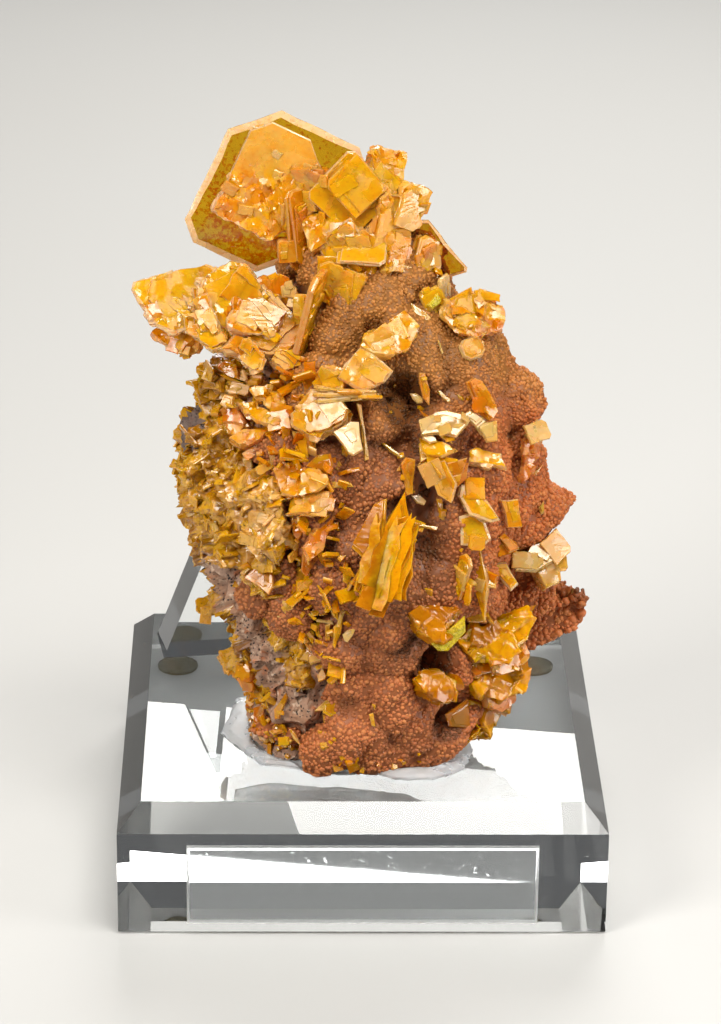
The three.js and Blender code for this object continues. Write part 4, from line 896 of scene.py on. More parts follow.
# how each group differs from the usual; a number picks one crystal of the group
habits = {
    "crown": {
        0: {**alone, "slot": 1, "layer": 2, "steps": 0, "tone": 0.6, "cream": 0.0, "edge": 1.2, "rim": 1.0},
        # the second crown plate: a painted peach sheen on its smooth upper part, with some paler crystal
        1: {"cream": 0.4, "young": 0.0, "shingles": 0.15, "scaleSize": (1.0, 3.0), "turn": -26, "tone": 0.7,
            "slope": (8, 32), "rim": 0.8,
            "rough": {"longest": 0.7, "facets": ((3.4, 0.8), (1.7, 0.45)), "below": 3.5}},
        2: {"cream": 0.3, "young": 0.1}, 3: {"cream": 0.25, "young": 0.1}, 5: {"cream": 0.2, "young": 0.0},
        6: {**alone, "tone": 0.7, "turn": 44, "layer": 1.3, "rim": 0.8},
        7: {"tone": 0.75, "young": 0.0, "shingles": 0.3, "turn": 40},
        8: {"young": 0.2, "shingles": 0.3, "tone": 0.8, "cream": 0.12, "terraces": (3, 230, 0.7),
            "rough": uneven},
        9: {"young": 0.2, "shingles": 0.3, "tone": 0.75, "terraces": (3, 200, 0.7), "rough": uneven},
        10: {"tone": 0.7, "cream": 0.12, "young": 0.0, "shingles": 0.2, "turn": 32, "edge": 0.35, "rim": 0.8},
        11: {"cream": 0.0, "young": 0.2, "shingles": 0.2, "tone": 0.7, "rough": uneven},
        12: {**alone, "cream": 0.1, "rim": 1.0, "steps": 0, "tone": 0.95},
        13: {"young": 0.3, "shingles": 0.4, "tone": 0.7, "terraces": (3, 215, 0.6), "rough": uneven},
        14: {"young": 0.2, "shingles": 0.4, "tone": 0.7, "terraces": (2, 240, 0.6), "rough": uneven},
        15: {"tone": 0.75, "young": 0.1, "shingles": 0.2, "terraces": (2, 100, 0.6), "rough": wavy},
        16: {"young": 0.3, "shingles": 0.6, "tone": 0.7, "rough": uneven},
        17: {"young": 0.3, "shingles": 0.6, "tone": 0.7, "rough": uneven}},
    "long_blade": {"young": 0.1, "shingles": 0.6, 1: {"tone": 0.9, "cream": 0.2}},
    "wing": {0: {**alone, "slot": 1, "layer": 3, "steps": 0, "edge": 0.5, "rim": 0.8}, 1: {"young": 0.6}},
    "white_splinter": {0: {"cream": 0.8, "young": 0.0, "shingles": 0.3}, 1: {"tone": 1.0, "young": 0.4}},
    "left": {
        "tone": 0.7, "cream": 0.08, "shingles": 0.15, "scaleSize": (3, 6), "slope": (6, 16), "turn": -35,
        "young": 0.06, "rim": 0.7, "youngSize": (1.2, 2.4), "terraces": (4, 40, 0.6), "rough": uneven,
        0: {"cream": 0.1, "turn": -10, "rim": 1.0, "edge": 0.7, "young": 0.0, "terraces": (3, 20, 0.6),
            "rough": wavy}},
    "left_fragment": {"tone": 0.65, "cream": 0.12, "rough": uneven},
    "upper_centre": {
        "tone": 0.8, "cream": 0.1, "shingles": 0.3, "turn": 30, "young": 0.1, "terraces": (2, 120, 0.6),
        "rough": wavy, 1: {**alone, "cream": 0.35, "edge": 0.35, "rim": 0.8, "terraces": (1, 0, 0.4)}},
    "layered_cluster": {
        "tone": 0.75, "cream": 0.2, "layer": 0.6, "young": 0.2, "shingles": 0.3, "youngCreamAndGlint": 0.25,
        "terraces": (4, 30, 0.6), "rim": 0.5, 0: {"rough": uneven}},
    # its cream is partly paler crystal and partly a painted reflection of the lights
    "mirror_plate": {**alone, "cream": 0.85, "steps": 1},
    "right_upper": {"tone": 0.7, "young": 0.15, "shingles": 0.3, "turn": 20, "terraces": (3, 70, 0.6),
                    "rough": uneven},
    "right_disc": {**alone, "cream": 0.35, "tone": 0.8, "steps": 1, "rim": 0.6},
    "right_blade": {"tone": 0.45, "young": 0.0, "shingles": 0.3},
    "cream_group": {"cream": 0.7, "young": 0.6, "youngCreamAndGlint": 0.6},
    "cream_chip": {"cream": 0.75}, "cream_square": {**alone, "cream": 0.8},
    "yellow_shelf": {"tone": 0.9, "young": 0.3, "rough": wavy},
    "yellow_bar": {"tone": 0.9, "young": 0.0, "rim": 0.8, "rough": wavy, "shingles": 0.2},
    "edge_cream": {"cream": 0.85}, "tan_plates": {"tone": 0.45, "cream": 0.12, "young": 0.1, "rim": 0.6},
    "hooked_plate": {"tone": 0.9, "young": 0.0, "shingles": 0.2, "edge": 0.55, "rim": 1.0, "steps": 1},
    "square_plate": {"tone": 0.75, "young": 0.0, "shingles": 0.1, "rim": 0.9}, "small_wedge": {"young": 0.0},
    "striated_blade": {"tone": 0.75, "young": 0.1, "layer": 0.4, "rim": 0.5},
    "thin_blade": {"tone": 0.7, "young": 0.0},
    "edged_plate": {"tone": 0.7, "young": 0.0, "shingles": 0.1, "edge": 0.45, "rim": 1.0},
    "lobe_plates": {"cream": 0.8, "young": 0.6, "youngCreamAndGlint": 0.5},
    "lobe_block": {"cream": 0.4, "young": 0.6}, "lobe_triangle": {"cream": 0.55},
    "centre_blades": {
        **alone, "slot": 2, "layer": 0.6, "cream": 0.0, "steps": 0, "lean": 5,
        0: {"sheaf": {"count": 19, "long": (11, 19), "wide": (1.8, 3.2), "thick": (0.6, 1.1), "lean": 22,
                      "reach": 3.5, "open": 20, "deep": 3.4, "rows": 7}}},
    "peach_blade": {"cream": 0.3, "young": 0.1, "rough": wavy},
    "orange_block": {"young": 0.3, "shingles": 0.3, "rough": uneven},
    "flank_ledge": {"tone": 0.7, "young": 0.3, "shingles": 0.3, "rough": uneven},
    "flank_lenses": {"tone": 0.4, "young": 0.2, "shingles": 0.2, "rough": wavy},
    "low_left": {"cream": 0.2, "young": 0.5, "rough": uneven},
}
# slab: x, y and z of its middle in mm, degrees to the right and up that it faces, its turn in its own plane,
# its size, its thickness and what is cut off its corners; slabOf: middle, facing, thickness and corners
crystalGroups = {
    "crown": [
        slab((-16.6, 4, 125.7), (0, 9), -25.5, (24.8, 28.7), 1.3, (7.3, 2, 9, 3.2)),
        slab((-17, 0, 129.4), (4, 13), -26, (14.5, 19.5), 2.6, (3, 4, 3, 1)),
        slab((-18.4, 1.6, 134.7), (-5, 20), -30, (7, 8), 1.4, (1, 0, 1, 0)),
        slab((-10.1, -1, 127.7), (-30, 10), 0, (5, 9), 2.2, (1, 0, 2, 0)),
        slab((-11.5, -2.5, 120.8), (45, 5), 2, (6, 16), 1.6, (1, 1, 2, 2)),
        slab((-14.1, -3, 117.4), (5, 8), 3, (3.4, 4.2), 4, (0.4, 0, 0.4, 0)),
        slab((-2.6, -2, 127.2), (5, 14), 44, (12.5, 12.5), 2.4, (1, 1, 1.5, 3.4)),
        slab((-1.8, -3.3, 129.6), (8, 18), 40, (8, 8.5), 1.6, (1, 0, 1, 0)),
        slab((3.2, 1, 130.7), (22, 22), -18, (7, 8.5), 3, (1.5, 0, 1.5, 0)),
        slab((7.5, -1, 124.8), (35, 10), -28, (6, 8), 2.5, (1, 0, 1.5, 0)),
        slab((-4, -6, 119.1), (-12, 5), 32, (8, 8), 1.3, (0.5, 0, 0.8, 0)),
        slab((-7.6, -4, 121.9), (-20, 30), 35, (7, 6.5), 2, (0.6, 0, 0.8, 0)),
        slab((-0.6, -7, 118.9), (0, 58), -5, (8.8, 6.5), 1.3, (1, 0, 1, 0)),
        slab((4.1, -3, 122.2), (20, 10), -15, (6, 12), 3, (1.5, 1, 1, 1)),
        slab((5.4, -5, 117.8), (30, 20), -10, (5.5, 8), 2.5, (1, 0, 1, 0)),
        slab((-4.9, -9, 112.7), (-12, 15), -20, (8.5, 7.5), 2, (1.5, 0, 1.5, 0)),
        slab((-4.5, 2, 122.3), (0, 15), 0, (14, 16), 6, (3, 3, 3, 3)),
        slab((-2.7, -4.5, 115.3), (0, 12), 0, (9, 14), 6, (2, 2, 2, 2)),
    ],
    "long_blade": [
        slab((-10.1, -13, 108.1), (72, -13), 0, (8, 17.5), 1.2, (2, 1, 2, 3)),
        slab((-11.5, -13.5, 110.4), (-15, 15), 5, (2.6, 4.6), 2.6, (0.5, 0.5, 0.5, 0.5)),
    ],
    "wing": [
        slabOf((12.8, -1, 116.7), (-8, 10), 1.6, -1.5, 5.5, 5.9, -2.9, 5.8, -3.6, 1.8, -5.2, -2, -2.2,
            -5.7, 3.1, -4.5, 5.5),
        slab((10.9, -2.6, 115.1), (40, 10), -30, (6, 9), 3, (1, 1, 1, 1)),
    ],
    "white_splinter": [
        slab((14.3, -6, 110.9), (65, 5), 0, (4, 5.5), 0.8, (0.5, 0.5, 1, 0.5)),
        slab((12.4, -8, 109.8), (10, 20), 20, (4.5, 4.5), 1.5, (0.5, 0.8, 0.8, 0.5)),
    ],
    "left": [
        slabOf((-33.7, -8, 110.3), (2, 40), 1.5, -8.5, 1.3, -8.1, 2.9, -0.4, 4.6, 5.4, 5.7, 8.8, 4, 7.9, -5,
            -0.8, -7.4, -4.2, -6),
        slabOf((-23.8, -9, 110.7), (5, 32), 2.6, -5.3, 4, -0.2, 6.1, 2.9, 5.3, 5.4, 1.4, 6.4, -1.4, 3.9, -4.8,
            -1.6, -6.1, -5.1, -3.8, -6.4, -0.5),
        slabOf((-19.5, -12.6, 107), (12, 38), 3, -5.4, -0.4, -3.7, 4.5, 1.2, 3.8, 5.2, 0.9, 3.5, -1.1,
            2.5, -3.1, -0, -2.7, -3.2, -2.1),
        slabOf((-28.8, -13, 105.7), (0, 42), 1.6, -4, -0.6, -3.3, 2.6, -0.8, 3.4, 2.4, 1.5, 4.2, -2.9,
            1.6, -4),
        slabOf((-21.2, -16, 101.8), (6, 35), 2.2, -3.8, 1.4, -1.9, 3.5, 0.7, 3.1, 3.4, -0.3, 2.6, -2.7,
            1.1, -3, -0.3, -2, -1.8, 0),
        slabOf((-14.2, -15.5, 100), (15, 35), 2.2, -3.1, 0.9, -2, 2.6, 1.1, 2.3, 2.7, 0.3, 2, -2.6, 0.6, -3,
            -1.3, -0.6),
        slabOf((-28.1, -13, 107.7), (-12, 30), 1.8, -3.2, 3.3, -0.7, 4.1, 2.2, -0.6, 2.6, -2.6, 0.8, -3.1,
            -1.8, -1.1),
        slabOf((-33.4, -10, 107.2), (-10, 40), 1.6, -4.1, 0.9, -1.7, 3.5, 1.3, 2.6, 3.5, -1.5, 2.4, -3.1,
            -1.4, -2.4),
        slabOf((-21, -9.6, 104.9), (8, 38), 6, -9.9, 7.2, 3.1, 7, 9.4, -0.9, 8.1, -7.6, -0.1, -5.7,
            -10.5, 0.1),
    ],
    "left_fragment": [slabOf((-33.9, -9.5, 101.9), (-15, 45), 2, -4.7, 1.2, -3.6, 2.6, 2.1, 1.2, 4.4, -0.2,
        2.5, -1.9, 0.8, -1.5, -1.6, -1.3)],
    "upper_centre": [
        slabOf((4.3, -16.7, 105.4), (12, 45), 2, -5.8, -1.1, -4.8, 0.7, -2.4, 1.7, 3.5, 5.3, 5.9, 2,
            4.8, -0.2, 3.2, -2.3, -0.5, -3.4, -3.8, -2.7),
        slabOf((0.4, -21.2, 100.6), (-4, 30), 1.2, -5.4, -0.8, -1.6, 4.8, 4.4, 0.7, 3.2, -1.7, -0.7, -3),
        slabOf((-6.6, -19.8, 98.9), (-18, 20), 2, -2.8, -0.9, -1.4, 2.3, 2.8, 1.8, 3.2, -1.3, -1.8, -1.9),
    ],
    "layered_cluster": [
        slabOf((-7.5, -23.6, 93.5), (-10, 30), 3.4, -4.8, -2.2, -5.1, 0.5, -2.5, 4.3, 1.6, 4.4, 5, 1,
            4.6, -0.8, 1.7, -2.6, -0.6, -4.7),
        slab((-3.3, -21.7, 96.8), (178, 70), -8, (11.5, 8), 0.8, (1, 1, 1, 1)),
    ],
    "mirror_plate": [slabOf((-2.6, -27.5, 90.6), (4, 40), 1, -3.2, 1.4, 0.1, 3.3, 1.5, 3.2, 2, -2.1,
        0.2, -3.1, -0.6, -2.7)],
    "right_upper": [
        slabOf((19.7, -8, 107), (25, 28), 4, -6.5, 0.9, -4.3, 3.5, 0.8, 4.4, 4.7, 2.6, 4.8, -0.6, 3.9, -3.4,
            0, -4.5, -3.5, -2.9),
        slabOf((17.3, -11, 106.6), (12, 36), 1.8, -3.6, 1.4, -2.1, 3, 0.1, 2.5, 2.3, 0.8, 3.6, -2.9,
            1.2, -3.2, -1.4, -1.5),
        slabOf((17.6, -9, 110.3), (5, 25), 0.9, 1.6, 2.2, -2.6, 0.1, -1, -1.7, 1.9, -0.6),
        slabOf((20.7, -9.5, 109.7), (-18, 25), 1, -1.5, 1, -0.6, 2.5, 1.4, 0.2, 1, -2.1, -0.4, -1.6),
    ],
    "right_disc": [slab((19.2, -13.5, 102.6), (18, 40), 10, (4.4, 4), 1.6, (1, 1, 1, 1))],
    "right_blade": [slabOf((20.7, -19.2, 95.4), (22, 28), 2, -2.2, 3.1, -0.9, 3.6, 0.5, 2.9, 2.8, -2.7,
        0.9, -4.5, -1.1, -2.4)],
    "cream_group": [slabOf((14.2, -23.1, 91.9), (4, 42), 1.4, -4.5, -2.2, -3.6, 0.6, -1.6, 2.1, 0.4, 2.4,
        4, 1.4, 4.4, 0.2, 1.9, -2.6, -1.1, -1.9)],
    "cream_chip": [slabOf((19.5, -21.6, 92.2), (8, 45), 1.4, -2.2, 0.7, -0.3, 1.7, 2, -0.5, 0.4, -1.8)],
    "cream_square": [slabOf((22.1, -21.9, 89.8), (14, 36), 1.2, -2.5, 1.7, 1.8, 2, 1.3, -1.8, -0.7, -1.9)],
    "yellow_shelf": [slabOf((12.6, -24.8, 87.7), (-4, 50), 1.6, -3.1, 1.7, 0.1, 1.8, 3.9, -0.1, 1.1, -1.8,
        -2.1, -1.7)],
    "yellow_bar": [slabOf((21.5, -21.9, 84.3), (6, 50), 1.6, -2.8, 1.2, -1.5, 1.7, 2.9, 0.7, 3.7, -1.9,
        0.7, -1.2, -3, -0.5)],
    "edge_cream": [slabOf((31.1, -12.5, 86), (28, 40), 2, -2.7, -0.3, 0.8, 2.2, 2.5, 0.5, 1.6, -0.7,
        -2.1, -1.6)],
    "tan_plates": [
        slabOf((14, -27.6, 82.6), (-14, 22), 1.4, -3.3, 2.6, -0.2, 3.8, 2.4, -0.2, 1.8, -3.7, -0.8, -2.5),
        slabOf((16.2, -26.6, 83.6), (10, 18), 1.2, -1.7, 2.1, 2.1, 2.8, 0.4, -2.1, -0.9, -2.8),
    ],
    "hooked_plate": [
        slabOf((19.9, -25.8, 77.4), (16, 34), 2.2, -2.4, 3.7, -0.5, 3.5, 2.1, 0.1, 3.8, -3.4, 1.9, -3.6,
            -1.8, -1.9, -3.1, 1.7),
        slabOf((19.7, -26.2, 72.6), (8, 12), 1.8, -2.9, 2.7, -2.6, -2.6, 1.4, -3.2, 3, -1.8, 1.8, 1.7,
            -0.7, 3.3),
    ],
    "square_plate": [slabOf((26.6, -21.8, 73.9), (18, 18), 1.2, -2, 2.7, 1.4, 2.5, 1.7, -2.7, -1.1, -2.5)],
    "small_wedge": [slabOf((26, -22.4, 68.3), (12, 34), 1.4, -1.7, 1.1, -0.5, 1.9, 2.1, -1.2, 0.1, -1.8)],
    "striated_blade": [slabOf((21.1, -26.5, 62.6), (-28, 10), 1.4, -0.7, 6.8, -2.1, 3.2, -0.5, -2.5,
        1.6, -7.2, 1.7, -0.4)],
    "thin_blade": [slab((17.4, -28.5, 64.2), (-58, 8), -14, (3.5, 9.5), 0.8, (1, 1, 1, 1))],
    "edged_plate": [slabOf((25.7, -22.3, 61.9), (14, 36), 1.2, -3.2, 2.6, 0.5, 2.4, 2.2, -1.9, 0.6, -3.1)],
    "lobe_plates": [slabOf((31.3, -15, 61.3), (12, 48), 1.2, -3.6, 0.5, 2.2, 2.9, 5, 0.3, 0.1, -2.1,
        -3.7, -1.5)],
    "lobe_block": [slabOf((34.1, -14, 58.2), (22, 38), 2.6, -2.9, 1.8, 2.6, 2.5, 1.9, -1.6, -1.5, -2.7)],
    "lobe_triangle": [slabOf((35.7, -12, 63.5), (30, 35), 1, -2.5, 0.4, 1.2, 2, 2, -0.3, -0.7, -2.1)],
    "centre_blades": [
        slabOf((4.2, -32, 69.4), (8, 22), 2.6, 3.5, 11.9, 4.4, 5, 3.5, -3.5, 0.5, -5.1, -1, -7.2, -5.5, -6.4,
            -4.5, -0.2, -1, 5.3),
        slabOf((1.3, -30.1, 74.5), (-28, 20), 1.6, -3.3, -4.1, -0.3, 4.3, 1.5, 5.7, 2.3, 0.2, -0.2, -6.1),
    ],
    "peach_blade": [slabOf((-9.2, -28.9, 78.2), (-14, 50), 1.6, -4.8, -2.4, -1, 1.4, 2.3, 3.4, 3.6, 0.7,
        1.4, -1.5, -1.5, -1.6)],
    "orange_block": [slabOf((-11.5, -26.3, 82.1), (-14, 30), 3, -4.9, 1.3, -2, 3.2, 0.1, 2.6, 5.3, 0.6,
        3.4, -1.7, 0.8, -3.1, -2.9, -2.9)],
    "flank_ledge": [
        slabOf((-17.9, -19.2, 91.7), (-20, 40), 2, -5.5, 1.5, -2.2, 2, 4.1, -0.4, 4.5, -1.8, -1, -1.3),
        slabOf((-16.7, -18.1, 94.3), (-10, 35), 2, -4.1, 1.6, -0.6, 2.5, 2.5, 0.5, 2.7, -2.8, -0.5, -1.9),
    ],
    "flank_lenses": [
        slabOf((-20.8, -19.8, 87.6), (-24, 40), 2.4, -3.5, -0.8, -1.8, 1, 3.6, 1.8, 2.6, -0.1, -0.9, -1.9),
        slabOf((-23, -16, 89.2), (-30, 20), 2.4, -2.9, 1.9, -0.1, 2.6, 2.1, 0.1, 1.7, -2.2, -0.9, -2.4),
    ],
    "low_left": [slabOf((-23.4, -10, 37.9), (-30, 15), 2.4, -3, 0.6, -0.3, 2.5, 2.2, 0.9, 2.2, -2.5,
        -1.2, -1.5)],
    "olive_crystal": [slabOf((12.4, -31.9, 56.8), (8, 34), 4, -4.6, 1.9, -1.3, 3.1, 3.8, 2.7, 5, 1.4,
        1.3, -3.8, -0.7, -3.6, -3.4, -1.7)],
    "amber_blocks": [slabOf((13, -30.2, 43.3), (14, 30), 5, -4.3, 1.6, -2.4, 3.4, 0.6, 3.3, 3.9, 0.4, 3, -3.4,
        0.7, -3.7, -1.5, -1.5)],
    "amber_cluster": [
        slabOf((24.2, -20.5, 49), (22, 34), 4.6, -8.3, -0.1, -6.1, 2.6, -0.4, 2.6, 6, 3.5, 8.3, 3.9, 5.7, -2,
            0.7, -5.7, -5.7, -4.7),
        slabOf((24.3, -19.5, 40.1), (26, 26), 5.5, -6.1, 1, -2.9, 4.9, 5.1, 4.6, 5.6, -0.1, 4.2, -3.6,
            -0.5, -4.6, -5.3, -2.2),
        slabOf((22.2, -18.5, 33.2), (26, 16), 5, -2.7, 4.8, 4.4, 4.2, 7.6, 1.8, 0.4, -4, -5.3, -6,
            -4.3, -0.8),
    ],
}

# single crystals that stand out of the druse, and small ones by their look
druseCrystals = [
    slabOf((-17.4, -25.6, 73.8), (-24, 24), 3.4, -4.3, 4.3, 0.3, 7.4, 2.8, 2, 4.3, -2.6, 0.2, -7.3,
        -3.3, -3.9),
    slabOf((-24.1, -9.6, 94.8), (-18, 52), 2.4, -5.3, -0.7, -3.9, 3.3, 2.7, 3.4, 6.3, 0, 2.4, -2.6,
        -2.2, -3.3),
    slabOf((-18.4, -25.2, 62.5), (-16, 34), 2, -3.5, -0.2, 1, 3.5, 2.3, 0.9, 1.7, -2.3, -1.5, -2),
]

